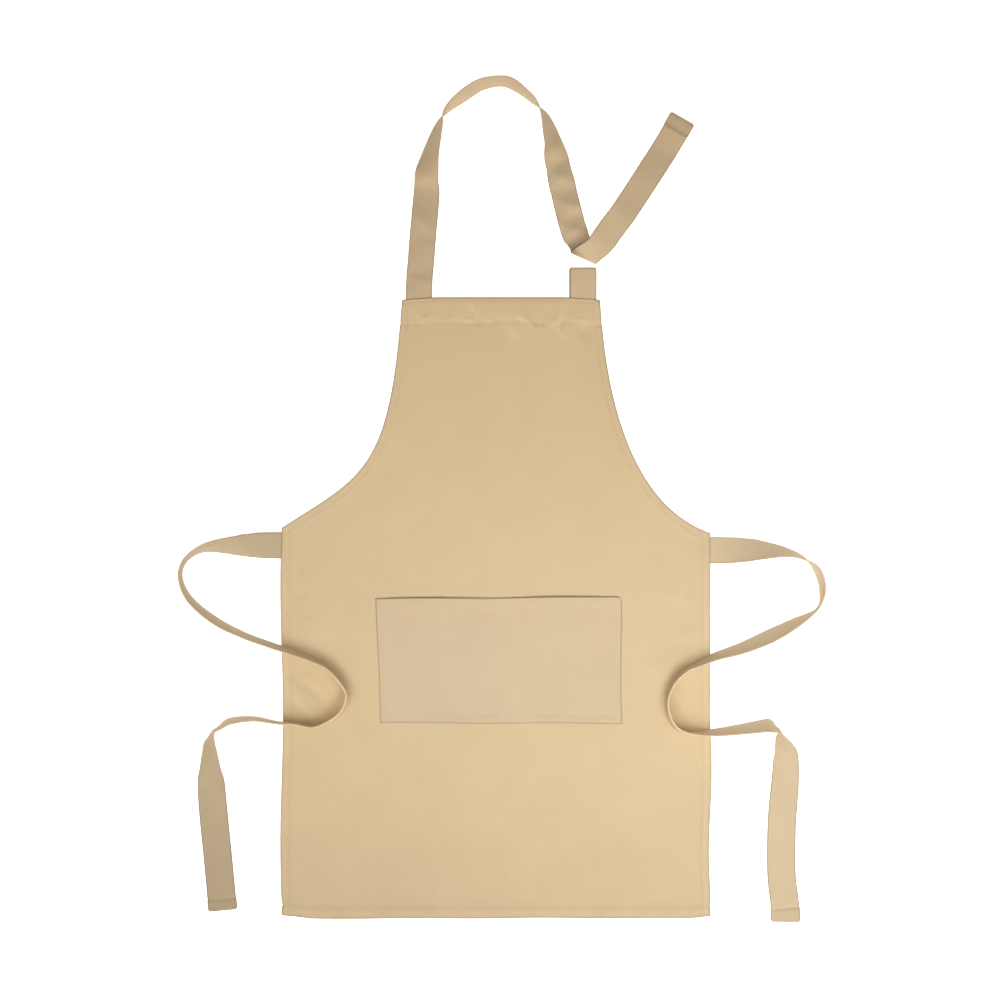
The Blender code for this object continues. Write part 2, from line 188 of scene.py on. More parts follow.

# Painted light and shade along each strap: how much lighter or darker its cloth is made, as (place along in
# mm, share). TAIL_TONES and FOLD_TONES count from the fold, and the hems' tones from the turned end.
# darker bands where the neck strap's waves and twists turn from the lamps, lighter ones where they face them
NECK_TONES = (
    (0, -0.08), (20, -0.06), (28, -0.16), (35, -0.08), (43, -0.03), (57, -0.13), (68, -0.07),
    (79, -0.05), (91, -0.13), (105, -0.12), (116, -0.08), (125, 0.0), (134, -0.08), (145, -0.21),
    (158, -0.16), (185, -0.22), (205, -0.06), (225, -0.12), (250, -0.14), (290, -0.14), (314, -0.2),
    (322, -0.12), (331, -0.12), (338, -0.17), (348, 0.03), (357, 0.05), (363, -0.13), (368, -0.12),
    (377, 0.03), (387, -0.03), (393, -0.13), (401, -0.08), (410, 0.05), (417, -0.05), (422, -0.12),
    (428, 0.0),
)
# the tail lighter near the fold, then light and dark bands along it
TAIL_TONES = (
    (5, 0.18), (18, 0.11), (27, 0.03), (37, 0.07), (47, 0.08), (58, -0.01), (67, -0.05), (78, 0.0),
    (86, 0.01), (103, -0.09), (114, -0.05), (124, -0.06), (133, 0.01), (143, 0.03),
)
# a painted shadow of the tail's flap on the strap just before the fold, and painted light just past it
FOLD_TONES = ((-27, -0.03), (-22, -0.12), (-18, -0.3), (-15, -0.46), (-3, -0.5), (5, 0.15))
# painted shade in dark lines along the tail's stitched hem
TAIL_HEM_TONES = ((-2, 0.04), (0, -0.32), (1.4, -0.02), (2.6, -0.27), (4, -0.03), (10.5, -0.06), (14, -0.32))
# the left tie mostly darker, with painted light where its loop's inner face stands toward the left lamp
LEFT_TIE_TONES = (
    (0, -0.1), (16, -0.15), (60, -0.16), (130, -0.14), (230, -0.08), (305, -0.04), (320, 0.12),
    (350, 0.12), (370, 0.0), (420, -0.05), (520, -0.16), (640, -0.18),
)
# painted light on the lower left of the right tie's loop, and slight painted shade and light elsewhere
RIGHT_TIE_TONES = (
    (0, 0.03), (100, 0.0), (250, -0.03), (330, 0.0), (350, 0.18), (366, 0.18), (385, -0.05),
    (450, -0.06), (520, 0.0), (650, 0.04),
)
# a painted light line and then a painted dark line where each tie's end is turned under
TIE_HEM_TONES = ((-4, 0), (-1.6, 0.06), (-0.2, -0.2), (1.5, -0.05))

# Waves across the ties, as (place along, half length, slant, height), and bulges in their middle, as
# (place along, half length, height), in mm.
TIE_WAVES = {
    "left": (
        (36, 4, -0.5, 0.7), (46, 4, -0.6, 0.8), (58, 5, -0.3, 0.6), (530, 6, 0.4, 0.6),
        (548, 6, -0.3, 0.7), (575, 7, 0.2, 0.6),
    ),
    "right": (
        (32, 5, 0.5, 0.6), (46, 5, 0.6, 0.7), (640, 7, 0.4, 0.6),
    ),
}
TIE_BULGES = {"left": ((476, 7, -2.2),), "right": ((462, 7.5, 2.5),)}

# Each tie's side, way out, route, where it bends in y, the hem of its end, and its tones of painted light
# and shade.
TIES = (
    ("left", -1, LEFT_TIE_ROUTE, -0.2504, 10 * MM, LEFT_TIE_TONES),
    ("right", 1, RIGHT_TIE_ROUTE, -0.2473, 12 * MM, RIGHT_TIE_TONES),
)


# ---- small helpers


def smoothstep(value, start, end):
    """0 before start, 1 after end, and smooth between them. start may be the larger."""
    t = np.clip((np.asarray(value, float) - start) / (end - start), 0, 1)
    return t * t * (3 - 2 * t)


def bump(value, middle, width):
    """A soft bell of height 1."""
    return np.exp(-(((np.asarray(value, float) - middle) / width) ** 2))


def ripple(x, y, seed, size):
    """Smooth unevenness between about -1 and 1: crossed waves whose ways and phases follow seed."""
    random = np.random.default_rng(seed)
    total = np.zeros(np.shape(x))
    for angle, phase, stretch in zip(
        random.uniform(0, math.pi, 7), random.uniform(0, 2 * math.pi, 7), random.uniform(0.6, 1.7, 7)
    ):
        way = x * math.cos(angle) + y * math.sin(angle)
        cross = y * math.cos(angle) - x * math.sin(angle)
        wave = np.sin(2 * math.pi * way / (size * stretch) + phase + 1.3 * np.sin(cross / size + 2 * phase))
        total = total + wave
    return total / 4


def travelled(path):
    """How far along a path each of its points is."""
    return np.r_[0, np.cumsum(np.linalg.norm(np.diff(path, axis=0), axis=1))]


def along(path, places, lengths=None):
    """The points of a path at the given distances along it."""
    lengths = travelled(path) if lengths is None else lengths
    return np.column_stack([np.interp(places, lengths, column) for column in path.T])


def even_points(path, step):
    """Points at even steps along a path, with its two ends."""
    total = travelled(path)[-1]
    return along(path, np.linspace(0, total, max(2, int(round(total / step)) + 1)))


def unit(vectors):
    """Each row of vectors at length 1."""
    return vectors / np.linalg.norm(vectors, axis=1)[:, None]


def roundness(edge, radius):
    """How much of its depth a rolled rim has: 0 at its edge, 1 from the radius on."""
    return np.sqrt(np.clip(1 - (1 - np.clip(edge / radius, 0, 1)) ** 2, 0, 1))


def ring_faces(rings, turns):
    """The faces between neighbouring closed rings of vertices."""
    faces = []
    for start in range(0, (rings - 1) * turns, turns):
        for j in range(turns):
            a, b = start + j, start + (j + 1) % turns
            faces.append((a, b, b + turns, a + turns))
    return faces


def add_mesh(name, verts, faces, material, smooth=True):
    """A new mesh object in the scene."""
    mesh = bpy.data.meshes.new(name)
    mesh.from_pydata([tuple(v) for v in verts], [], [tuple(int(i) for i in f) for f in faces])
    mesh.validate()
    mesh.update()
    if smooth:
        mesh.polygons.foreach_set("use_smooth", [True] * len(mesh.polygons))
    mesh.materials.append(material)
    made = bpy.data.objects.new(name, mesh)
    bpy.context.scene.collection.objects.link(made)
    return made


def sharpen(piece, *loops):
    """Keeps a crisp edge where both ends of an edge are in one of the given loops of vertices."""
    rings = [set(loop) for loop in loops]
    for edge in piece.data.edges:
        a, b = edge.vertices
        if any(a in ring and b in ring for ring in rings):
            edge.use_edge_sharp = True


def closed_sheet(top, under, faces, border):
    """Vertices and faces of a closed sheet: its upper faces, its under faces and the rim between."""
    count = len(top)
    verts = np.vstack([top, under])
    rim = [(a, a + count, b + count, b) for a, b in zip(border, border[1:] + border[:1])]
    turned = [[i + count for i in reversed(face)] for face in faces]
    return verts, list(faces) + turned + rim


# ---- materials


class NodeMaterial:
    """A new node material, with short ways to add nodes to it."""

    def __init__(self, name):
        self.material = bpy.data.materials.new(name)
        self.material.use_nodes = True
        self.tree = self.material.node_tree

    def fill(self, node, inputs):
        """Links or sets a node's inputs."""
        for socket, value in inputs.items():
            if isinstance(value, bpy.types.NodeSocket):
                self.tree.links.new(value, node.inputs[socket])
            else:
                node.inputs[socket].default_value = value

    def finish(self, inputs):
        """Links or sets the shader's inputs."""
        self.fill(self.tree.nodes["Principled BSDF"], inputs)
        return self.material

    def add(self, kind, inputs, out=0, **settings):
        """Adds a node and returns one of its outputs."""
        node = self.tree.nodes.new("ShaderNode" + kind)
        for key, value in settings.items():
            setattr(node, key, value)
        self.fill(node, inputs)
        return node.outputs[out]

    def noise(self, place, scale, detail, roughness=0.5):
        inputs = {"Vector": place, "Scale": scale, "Detail": detail, "Roughness": roughness}
        return self.add("TexNoise", inputs)

    def bands(self, place, size, way="X", **inputs):
        inputs = {key.replace("_", " "): value for key, value in inputs.items()}
        inputs |= {"Vector": place, "Scale": WAVE_PERIOD / size}
        return self.add("TexWave", inputs, out=1, bands_direction=way)

    def ranged(self, value, start, end, low=0.0, high=1.0):
        """A value that runs from low to high, as one from start to end."""
        inputs = {"Value": value, "From Min": low, "From Max": high, "To Min": start, "To Max": end}
        return self.add("MapRange", inputs)

    def patchy(self, noise, start, end):
        """A noise's middle stretch as a value from start to end."""
        return self.ranged(noise, start, end, 0.3, 0.7)

    def tinted(self, spots, dark, light, *shades):
        """A colour between dark and light that several shades multiply."""
        colour = self.add("Mix", {0: self.patchy(spots, 0, 1), 6: dark, 7: light}, out=2, data_type="RGBA")
        shade = shades[0]
        for other in shades[1:]:
            shade = self.add("Math", {0: shade, 1: other}, operation="MULTIPLY")
        return self.add("VectorMath", {0: colour, "Scale": shade}, operation="SCALE")

    def raised(self, value, weight, rest):
        return self.add("Math", {0: value, 1: weight, 2: rest}, operation="MULTIPLY_ADD")


def srgb(red, green, blue):
    """A linear colour from 0 to 255 display values."""
    return [((c / 255 + 0.055) / 1.055) ** 2.4 if c > 10 else c / 3295 for c in (red, green, blue)] + [1]


def cloth_material(name, light, dark, along_uv=False):
    """Cotton twill: fine diagonal ribs crossed by the warp, slubs, uneven colour, a painted dark outline of
    shade along its edges, and painted light and shade from its tone.
    """
    make = NodeMaterial(name)
    place = make.add("TexCoord", {}, out="UV" if along_uv else "Object")
    ribs_place = make.add("Mapping", {"Vector": place, "Rotation": (0, 0, RIB_SLANT)})
    slub_place = make.add("Mapping", {"Vector": place, "Scale": (1, 0.12, 1)})
    ribs = make.bands(ribs_place, TWILL, Distortion=0.6, Detail=1.0, Detail_Scale=6.0)
    warp = make.bands(place, 0.55 * TWILL, Distortion=0.8, Detail=1.0, Detail_Scale=4.0)
    slubs = make.noise(slub_place, 900, 2.0)
    fuzz = make.noise(place, 2600, 3.0)
    clouds = make.noise(place, 24, 3.0, 0.55)
    shades = make.noise(place, 6, 2.0)
    # painted shade and light read from each vertex: a dark outline along the edges, and a tone that lightens
    # or darkens the cloth
    edge_shading = make.add("Attribute", {}, out="Fac", attribute_name="edge_shade")
    tone = make.add("Attribute", {}, out="Fac", attribute_name="tone")
    colour = make.tinted(
        clouds,
        dark,
        light,
        make.patchy(shades, 0.992, 1.008),
        make.ranged(ribs, 0.975, 1.015),
        make.patchy(slubs, 0.985, 1.012),
        make.ranged(edge_shading, 1.0, 0.56),
        make.add("Math", {0: tone, 1: 1.0}, operation="ADD"),
    )
    weave = make.raised(fuzz, 0.4, make.raised(slubs, 0.8, make.raised(ribs, 0.7, warp)))
    relief = make.add("Bump", {"Height": weave, "Strength": 0.22, "Distance": 0.12 * MM})
    looks = {"Base Color": colour, "Roughness": make.ranged(ribs, 0.96, 0.84), "Normal": relief}
    looks |= {"Sheen Weight": 0.12, "Sheen Roughness": 0.5, "Specular IOR Level": 0.2}
    return make.finish(looks)


def thread_material(name, light, dark):
    """Twisted sewing thread: fine slanting plies and a slight gloss."""
    make = NodeMaterial(name)
    place = make.add("TexCoord", {}, out="Object")
    turned = make.add("Mapping", {"Vector": place, "Rotation": (0.3, 0.4, math.radians(35))})
    plies = make.bands(turned, 0.35 * MM, "DIAGONAL", Distortion=0.5)
    colour = make.tinted(make.noise(place, 160, 2.0), dark, light, make.ranged(plies, 0.86, 1.04))
    relief = make.add("Bump", {"Height": plies, "Strength": 0.35, "Distance": 0.08 * MM})
    return make.finish({"Base Color": colour, "Roughness": 0.62, "Normal": relief, "Sheen Weight": 0.1})


body_twill = cloth_material("body_twill", srgb(220, 195, 154), srgb(217, 192, 151))
pocket_twill = cloth_material("pocket_twill", srgb(215, 191, 156), srgb(212, 188, 153))
strap_twill = cloth_material("strap_twill", srgb(216, 192, 156), srgb(212, 188, 152), along_uv=True)
cotton_thread = thread_material("cotton_thread", srgb(226, 204, 166), srgb(213, 189, 150))


def dress(piece, body, slot, *nodes):
    """Rides a piece on its body when the body is a name, or else leaves it where it lies, and hides the CAD
    nodes it stands for. The slot is not used.
    """
    if isinstance(body, str):
        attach(piece, body)
    else:
        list(body)
        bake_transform(piece)
    if nodes:
        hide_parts(*nodes)
    return piece


def shade(piece, values, name="edge_shade"):
    """Stores a number for each vertex that the cloth's colour reads: its painted dark edge outline, or its
    tone of painted light and shade.
    """
    attribute = piece.data.attributes.new(name, "FLOAT", "POINT")
    attribute.data.foreach_set("value", np.asarray(values, np.float32))


def shade_rim(sheet, edge):
    """Paints a dark outline of shade on both faces of a closed sheet, fading over the rim's width from its
    edge.
    """
    close = np.where(edge < SHADED_RIM, 1 - edge / SHADED_RIM, 0)
    shade(sheet, np.r_[close, close])


# ---- body panel outline


def bezier(a, b, c, d, t):
    """Points at t of the cubic Bezier curve through its four control points."""
    t = np.asarray(t)[:, None]
    s = 1 - t
    return a * s**3 + b * (3 * s * s * t) + c * (3 * s * t * t) + d * t**3


def armhole_curve(side):
    """Dense points down one armhole's edge, from the bib's corner to the waist."""
    (upper_length, upper_turn), (lower_length, lower_turn) = ARMHOLE_HANDLES[side]
    upper_angle, lower_angle = math.radians(upper_turn), math.radians(lower_turn)
    top = np.array((BIB_LEAN + side * BIB_WIDTH / 2, WAIST_TO_BIB_TOP))
    end = np.array(WAIST[side])
    upper = upper_length * np.array((side * math.sin(upper_angle), -math.cos(upper_angle)))
    lower = lower_length * np.array((-side * math.cos(lower_angle), math.sin(lower_angle)))
    return bezier(top, top + upper, end + lower, end, np.linspace(0, 1, 400))


def side_sway(side, y):
    """How far a side edge wanders from straight as the cloth lies."""
    if side < 0:
        return SIDE_SWAY * np.cos(2 * math.pi * (y + 180 * MM) / (250 * MM)) * smoothstep(y, 0, -40 * MM)
    wander = np.sin(2 * math.pi * (y + 272 * MM) / (156 * MM))
    return SIDE_SWAY * wander * smoothstep(y, -150 * MM, -215 * MM)


def body_edges():
    """The panel's edge in five stretches, anticlockwise from the bottom left corner, as the cloth lies."""
    hem_y = -WAIST_TO_HEM
    half = BODY_WIDTH / 2
    corners = {"left": np.array((-half, hem_y)), "right": np.array((half, hem_y))}
    edges = {
        "bottom": np.array((corners["left"], corners["right"])),
        "right_side": np.array((corners["right"], WAIST[1])),
        "right_armhole": armhole_curve(1)[::-1],
        "bib": np.array((armhole_curve(1)[0], armhole_curve(-1)[0])),
        "left_armhole": armhole_curve(-1),
        "left_side": np.array((WAIST[-1], corners["left"])),
    }
    edges = {name: even_points(path, EDGE_STEP) for name, path in edges.items()}
    x = edges["bottom"][:, 0]
    fade = smoothstep(np.abs(x), half, half - 20 * MM)
    edges["bottom"][:, 1] += 0.55 * MM * np.sin(x / (31 * MM)) * np.sin(x / (57 * MM) + 1) * fade - 0.6 * MM
    edges["bottom"][:, 1] += 2.7 * MM * smoothstep(x, 34 * MM - half, -half)
    edges["bottom"][:, 1] += 2.0 * MM * smoothstep(x, half - 22 * MM, half)
    for name, side in (("left_side", -1), ("right_side", 1)):
        y = edges[name][:, 1]
        ends = smoothstep(y, hem_y, hem_y + 15 * MM) * smoothstep(y, -4 * MM, -20 * MM)
        edges[name][:, 0] += side_sway(side, y) * ends
        corner_y = edges["bottom"][0 if side < 0 else -1, 1]
        edges[name][:, 1] += (corner_y - hem_y) * smoothstep(y, hem_y + 20 * MM, hem_y)
        dent = CORNER_DENT * bump(y, hem_y + 11 * MM, 5 * MM)
        edges[name][:, 0] -= side * dent * smoothstep(y, hem_y, hem_y + 6 * MM)
    for name in ("bib", "left_armhole", "right_armhole"):
        x, y = edges[name].T
        corner = smoothstep(y, WAIST_TO_BIB_TOP - 25 * MM, WAIST_TO_BIB_TOP)
        edges[name][:, 1] -= BIB_DROOP * np.clip((np.abs(x - BIB_LEAN) - 62 * MM) / (33 * MM), 0, 1) * corner
    for name in ("left_armhole", "right_armhole"):
        nick = bump(edges[name][:, 1], WAIST_TO_BIB_TOP - BIB_HEM, 1.6 * MM)
        edges[name][:, 0] += (1 if name == "left_armhole" else -1) * BIB_NICK * nick
    return edges


body_edge = body_edges()
outline = np.vstack([path[:-1] for path in body_edge.values()])


def inward(path, closed=True):
    """The mitred inward direction at each point of an anticlockwise path, for an inset of 1."""
    if closed:
        ahead = np.roll(path, -1, axis=0) - path
        behind = path - np.roll(path, 1, axis=0)
    else:
        ahead = np.vstack([np.diff(path, axis=0), path[-1:] - path[-2:-1]])
        behind = np.vstack([path[1:2] - path[:1], np.diff(path, axis=0)])
    normals = []
    for way in (ahead, behind):
        way = unit(way)
        normals.append(np.column_stack([-way[:, 1], way[:, 0]]))
    total = normals[0] + normals[1]
    return total / (1 + (normals[0] * normals[1]).sum(axis=1))[:, None]


def trimmed_stretches(inset):
    """Each stretch of the panel's edge moved in by inset and cut where it meets its neighbours."""
    names = list(body_edge)
    direction = inward(outline)
    starts = np.cumsum([0] + [len(body_edge[name]) - 1 for name in names])
    corners = [outline[i % len(outline)] + direction[i % len(outline)] * inset for i in starts]
    stretches = {}
    for number, name in enumerate(names):
        path = body_edge[name]
        moved = path + inward(path, closed=False) * inset
        first, last = corners[number], corners[number + 1]
        way_in = path[1] - path[0]
        way_out = path[-1] - path[-2]
        kept = ((moved - first) @ way_in > 0) & ((last - moved) @ way_out > 0)
        middle = np.arange(len(path))
        kept |= (middle > len(path) * 0.3) & (middle < len(path) * 0.7)
        line = np.vstack([first, moved[kept], last])
        stretches[name] = along(line, np.linspace(0, travelled(line)[-1], len(path)))
    return stretches


def edge_trees():
    """A search tree for each kind of edge, with its hem's width."""
    kinds = {
        "bottom": ("bottom",),
        "sides": ("left_side", "right_side"),
        "armholes": ("left_armhole", "right_armhole"),
        "bib": ("bib",),
    }
    trees = {}
    for kind, names in kinds.items():
        dense = np.vstack([even_points(body_edge[name], 0.4 * MM) for name in names])
        tree = kdtree.KDTree(len(dense))
        for index, point in enumerate(dense):
            tree.insert((*point, 0), index)
        tree.balance()
        trees[kind] = (tree, HEMS[names[0]])
    return trees


trees = edge_trees()


def edge_distance(points, kind):
    """How far points are from one kind of edge."""
    find = trees[kind][0].find
    return np.array([find((p[0], p[1], 0))[2] for p in points])


# ---- body panel relief

# Creases that the cloth keeps, as (x, y, turn in degrees, half length, half width, height), in mm.
CREASES = (
    (-65.4, 206.4, 15, 3.5, 1.8, -1.2), (-19, 195.7, 0, 16, 1.8, -0.75), (18.3, 187.5, 0, 6, 6, 1.35),
    (26.9, 200.5, -27, 8, 2.2, 1.2), (39.3, 195.8, 10, 3.5, 2, -1.2), (46.7, 195.3, 0, 3.5, 1.8, -1.05),
    (58.2, 198.4, 0, 5.5, 2.4, 1.35), (64.8, 196.2, 60, 4, 2, -1.35), (62.5, 203.5, 75, 5, 2, 0.9),
    (63.5, 187, -45, 9, 2.4, 1.05), (82, 199.3, -8, 11, 3, 1.05), (86, 186, -40, 10, 3.5, -0.75),
    (-50, 199, 5, 9, 2.4, 0.83), (-27, 199.5, 0, 5, 2.4, 1.05), (-6, 199.5, 0, 5, 2.4, 0.9),
    (-70, 201, 20, 5, 2.4, 0.75), (-22, 213, -60, 10, 3, 0.75), (30, 211, -60, 9, 4, -0.6),
    (-40, 210, 60, 9, 4, -0.52), (-188, -142, 12, 9, 3, -0.74), (-181, -157, -40, 17, 3.2, -1.08),
    (-176, -150, -40, 17, 4, 0.81), (-188, -168, -52, 14, 3, 0.81), (-172, -172, -25, 12, 3.5, -0.68),
    (-187, -66, 10, 7, 3, -0.54), (-184, -85, -8, 8, 3, -0.47), (-185, -43, 0, 8, 4, -0.41),
    (-170, -105, 12, 22, 5, 0.41), (190, -95, 10, 8, 3, -0.54), (186, -108, -5, 9, 3, 0.47),
    (187, -66, 12, 8, 3, -0.47), (180, -70, -12, 16, 5, 0.41), (170, -120, 20, 26, 6, -0.47),
)


def crease_relief(x, y):
    """The height that the kept creases add."""
    total = np.zeros(len(x))
    for cx, cy, turn, length, width, height in CREASES:
        angle = math.radians(turn)
        onward = (x - cx * MM) * math.cos(angle) + (y - cy * MM) * math.sin(angle)
        across = (y - cy * MM) * math.cos(angle) - (x - cx * MM) * math.sin(angle)
        total += height * MM * np.exp(-((onward / (length * MM)) ** 2) - (across / (width * MM)) ** 2)
    return total


def over_straps(x):
    """1 where the bib's hem lies over the neck strap or the tab, and 0 between them."""
    reach = STRAP_WIDTH / 2
    left = smoothstep(np.abs(x - NECK_STRAP_X), reach + 2 * MM, reach - 1 * MM)
    return left + smoothstep(np.abs(x - TAB_CENTRE_X), reach + 2 * MM, reach - 1 * MM)


def hem_tone(x, y, points):
    """Painted light and shade along the narrow hems of sides, armholes and bottom: the darker and lighter
    lines that the hems draw, and a dark outline at the armhole, bottom and side edges.
    """
    sides = edge_distance(points, "sides")
    armholes = edge_distance(points, "armholes")
    bottom = edge_distance(points, "bottom")
    patches = np.clip(0.5 + 0.8 * ripple(y, x * 0.3, 21, 26 * MM), 0, 1)
    tone = 0.05 * bump(sides, 4.6 * MM, 1.3 * MM) * patches
    tone -= 0.03 * bump(sides, SIDE_HEM - 0.6 * MM, 1.0 * MM)
    tone -= 0.05 * bump(armholes, ARMHOLE_HEM - 1 * MM, 1.2 * MM) * patches
    tone -= 0.16 * smoothstep(armholes, 1.6 * MM, 0.2 * MM)
    spots = np.clip(0.4 + 0.9 * ripple(x, 0 * y, 31, 30 * MM), 0, 1)
    tone -= 0.08 * bump(bottom, BOTTOM_HEM + 0.2 * MM, 1.1 * MM) * (0.35 + 0.65 * spots)
    tone += 0.05 * bump(bottom, BOTTOM_HEM - 4 * MM, 2.2 * MM) * (1 - spots)
    return tone - 0.12 * smoothstep(bottom, 1.4 * MM, 0.2 * MM) - 0.1 * smoothstep(sides, 1.4 * MM, 0.2 * MM)


def panel_tone(points):
    """Painted light and shade on the panel's cloth: darker in the creases' hollows and lighter on their
    ridges, lines along the hems and the bib's seam, a dark rolled top edge on the bib between the straps,
    and light and dark lines where it laps over them; the bib's hem band is also made a little lighter.
    """
    points = np.asarray(points, float)
    x, y = points[:, 0], points[:, 1]
    # painted shade in the creases' hollows, painted light on their ridges
    tone = np.clip(crease_relief(x, y) / MM * 0.085, -0.13, 0.09)
    distance = edge_distance(points, "bib")
    below = distance - (BIB_HEM - ROW_INSET)
    dashes = np.clip(0.45 + 0.8 * ripple(x, 0 * y, 5, 21 * MM), 0, 1)
    spots = np.clip(0.35 + 0.9 * ripple(x, 0 * y, 9, 24 * MM), 0, 1)
    # painted shade in dashes just below the bib's seam, painted light in spots above it
    tone -= 0.09 * bump(below, 2.0 * MM, 1.2 * MM) * dashes
    tone += 0.08 * bump(below, -2.4 * MM, 2.0 * MM) * spots
    tone += hem_tone(x, y, points) + 0.035 * smoothstep(distance, BIB_HEM + 3 * MM, BIB_HEM - 6 * MM)
    between = 1 - over_straps(x)
    # painted shade: the bib's rolled top edge darker between the straps; over the straps, a painted light
    # line and a painted dark line where the bib laps over them
    rolled = 0.22 * bump(distance, 0.2 * MM, 0.9 * MM) + 0.06 * smoothstep(distance, 8 * MM, 0.5 * MM)
    lapped = 0.06 * bump(distance, 1.3 * MM, 0.9 * MM) - 0.09 * bump(distance, 3.0 * MM, 0.8 * MM)
    return tone - rolled * between + lapped * (1 - between)


def panel_top(points):
    """The height of the panel's front face."""
    points = np.asarray(points, float)
    x, y = points[:, 0], points[:, 1]
    rise = np.zeros(len(points))
    groove = np.zeros(len(points))
    for kind, (_, hem) in trees.items():
        distance = edge_distance(points, kind)
        rise = np.maximum(rise, smoothstep(distance, hem + 7.0 * MM, hem - 3.0 * MM))
        row = distance - (hem - ROW_INSET)
        if kind == "bib":
            patchy = 0.65 + 0.35 * ripple(x, 0 * y, 15, 26 * MM)
            groove = np.maximum(groove, 0.55 * MM * patchy * bump(row, 0.4 * MM, 1.5 * MM))
            groove += 0.8 * MM * smoothstep(distance, 6.5 * MM, 0) * (1 - over_straps(x))
            groove += 0.4 * MM * bump(distance, 2.6 * MM, 0.8 * MM) * over_straps(x)
            pucker = 0.45 * MM * ripple(x * 1.5, y * 0.5, 4, 17 * MM) * bump(row, 0, 7 * MM)
        else:
            groove = np.maximum(groove, 0.18 * MM * bump(row, 0, 1.0 * MM))
    waves = 0.42 * MM * ripple(x, y, 11, 95 * MM) + 0.12 * MM * ripple(x, y, 3, 32 * MM)
    calm = 1 - 0.75 * rise
    height = PANEL_TOP + 0.5 * MM + (HEM_TOP - PANEL_TOP) * rise + waves * calm - groove + pucker
    return np.maximum(height + crease_relief(x, y), CLOTH + 0.15 * MM)


def build_body(turned_hems):
    """The panel: rings that follow its edge, and an even net inside them."""
    rings = [np.vstack([path[:-1] for path in trimmed_stretches(inset).values()]) for inset in RINGS]
    count = len(outline)
    inner = rings[-1]
    low, high = inner.min(axis=0), inner.max(axis=0)
    xs = np.arange(low[0], high[0], GRID_STEP)
    ys = np.arange(low[1], high[1], GRID_STEP)
    seam_ys = BIB_SEAM_Y + np.arange(-4.5, 4.6, 0.9) * MM
    ys = np.r_[ys[np.abs(ys - BIB_SEAM_Y) > 5 * MM], seam_ys]
    net = np.array([(x + (row % 2) * GRID_STEP / 2, y) for row, y in enumerate(np.sort(ys)) for x in xs])
    fine = [(x, y) for y in seam_ys for x in xs + GRID_STEP / 4]
    net = np.vstack([net, fine])
    nearest = np.min([edge_distance(net, kind) for kind in trees], axis=0)
    inside = points_inside(net, outline)
    net = net[inside & (nearest > RINGS[-1] + 0.9 * MM)]
    loop = [(i, (i + 1) % count) for i in range(count)]
    spots = [Vector(p) for p in inner] + [Vector(p) for p in net]
    filled = geometry.delaunay_2d_cdt(spots, loop, [list(range(count))], 1, 1e-7)
    flat, faces, origins = filled[0], filled[2], filled[3]
    places = [None] * len(flat)
    first_inner = count * (len(rings) - 1)
    extra = []
    for index, source in enumerate(origins):
        kept = [i for i in source if i < count]
        if kept:
            places[index] = first_inner + kept[0]
        else:
            places[index] = first_inner + count + len(extra)
            extra.append(tuple(flat[index]))
    points = np.vstack(rings + [np.array(extra)])
    mesh_faces = ring_faces(len(rings), count) + [tuple(places[i] for i in face) for face in faces]
    top_z = panel_top(points)
    edge = np.full(len(points), 1.0)
    for ring, inset in enumerate(RINGS):
        edge[ring * count : (ring + 1) * count] = inset
    drop = CLOTH_ROLL * (1 - roundness(edge, CLOTH_ROLL))
    top = np.column_stack([points, top_z - drop])
    under = np.column_stack([points, np.minimum(top_z - CLOTH, top_z - drop - 0.12 * MM)])
    verts, all_faces = closed_sheet(top, under, mesh_faces, list(range(count)))
    body = add_mesh("body_cloth", verts, all_faces, body_twill)
    shade_rim(body, edge)
    # painted light and shade on the panel's front face; its back face gets none
    tone = panel_tone(points)
    shade(body, np.r_[tone, 0 * tone], "tone")
    turned = sum(travelled(path)[-1] * (HEMS[name] + TURNED_ALLOWANCE) for name, path in body_edge.items())
    area = polygon_area(outline) + turned
    dress(body, "body", "body_cloth", "apron_body")


def polygon_area(path):
    """The area inside a closed path."""
    x, y = path[:, 0], path[:, 1]
    return abs(np.dot(x, np.roll(y, -1)) - np.dot(y, np.roll(x, -1))) / 2


def points_inside(points, path):
    """Whether each point is inside a closed path."""
    x, y = points[:, 0], points[:, 1]
    inside = np.zeros(len(points), bool)
    for (x1, y1), (x2, y2) in zip(path, np.roll(path, -1, axis=0)):
        if y1 != y2:
            crosses = (y1 > y) != (y2 > y)
            inside ^= crosses & (x < (x2 - x1) * (y - y1) / (y2 - y1) + x1)
    return inside


def build_turned_hems():
    """The cloth turned under along each edge, seen at the rim and from behind."""
    strips = []
    for name, hem in HEMS.items():
        path = body_edge[name]
        direction = inward(path, closed=False)
        if name not in ("bottom", "bib"):
            path, direction = path[2:-2], direction[2:-2]
        outer = ((0.1, 0.8), (0.2, 1.3), (0.6, 1.45))
        inner = ((1.6, 1.35), (0.5, 1.1), (0.1, 0.7), (0.5, 0.25), (1.6, 0.05))
        profile = [(inset * MM, z * MM) for inset, z in outer]
        profile.append((hem * 0.5, 1.4 * MM))
        profile += [(hem - inset * MM, z * MM) for inset, z in inner]
        profile += [(hem * 0.5, 0.04 * MM), (0.6 * MM, 0.1 * MM), (0.22 * MM, 0.35 * MM)]
        turns = len(profile)
        verts = [(*(p + d * inset), z) for p, d in zip(path, direction) for inset, z in profile]
        faces = ring_faces(len(path), turns)
        faces.append(tuple(range(turns))[::-1])
        faces.append(tuple((len(path) - 1) * turns + j for j in range(turns)))
        strip = add_mesh(name + "_turned_hem", verts, faces, body_twill)
        # painted shade: a dark outline along the turned hem's rim
        shade(strip, [0.55 if j in (0, 1, 11) else 0.0 for p in path for j in range(turns)])
        strips.append(dress(strip, "body", "body_cloth"))
    return strips


# ---- pocket


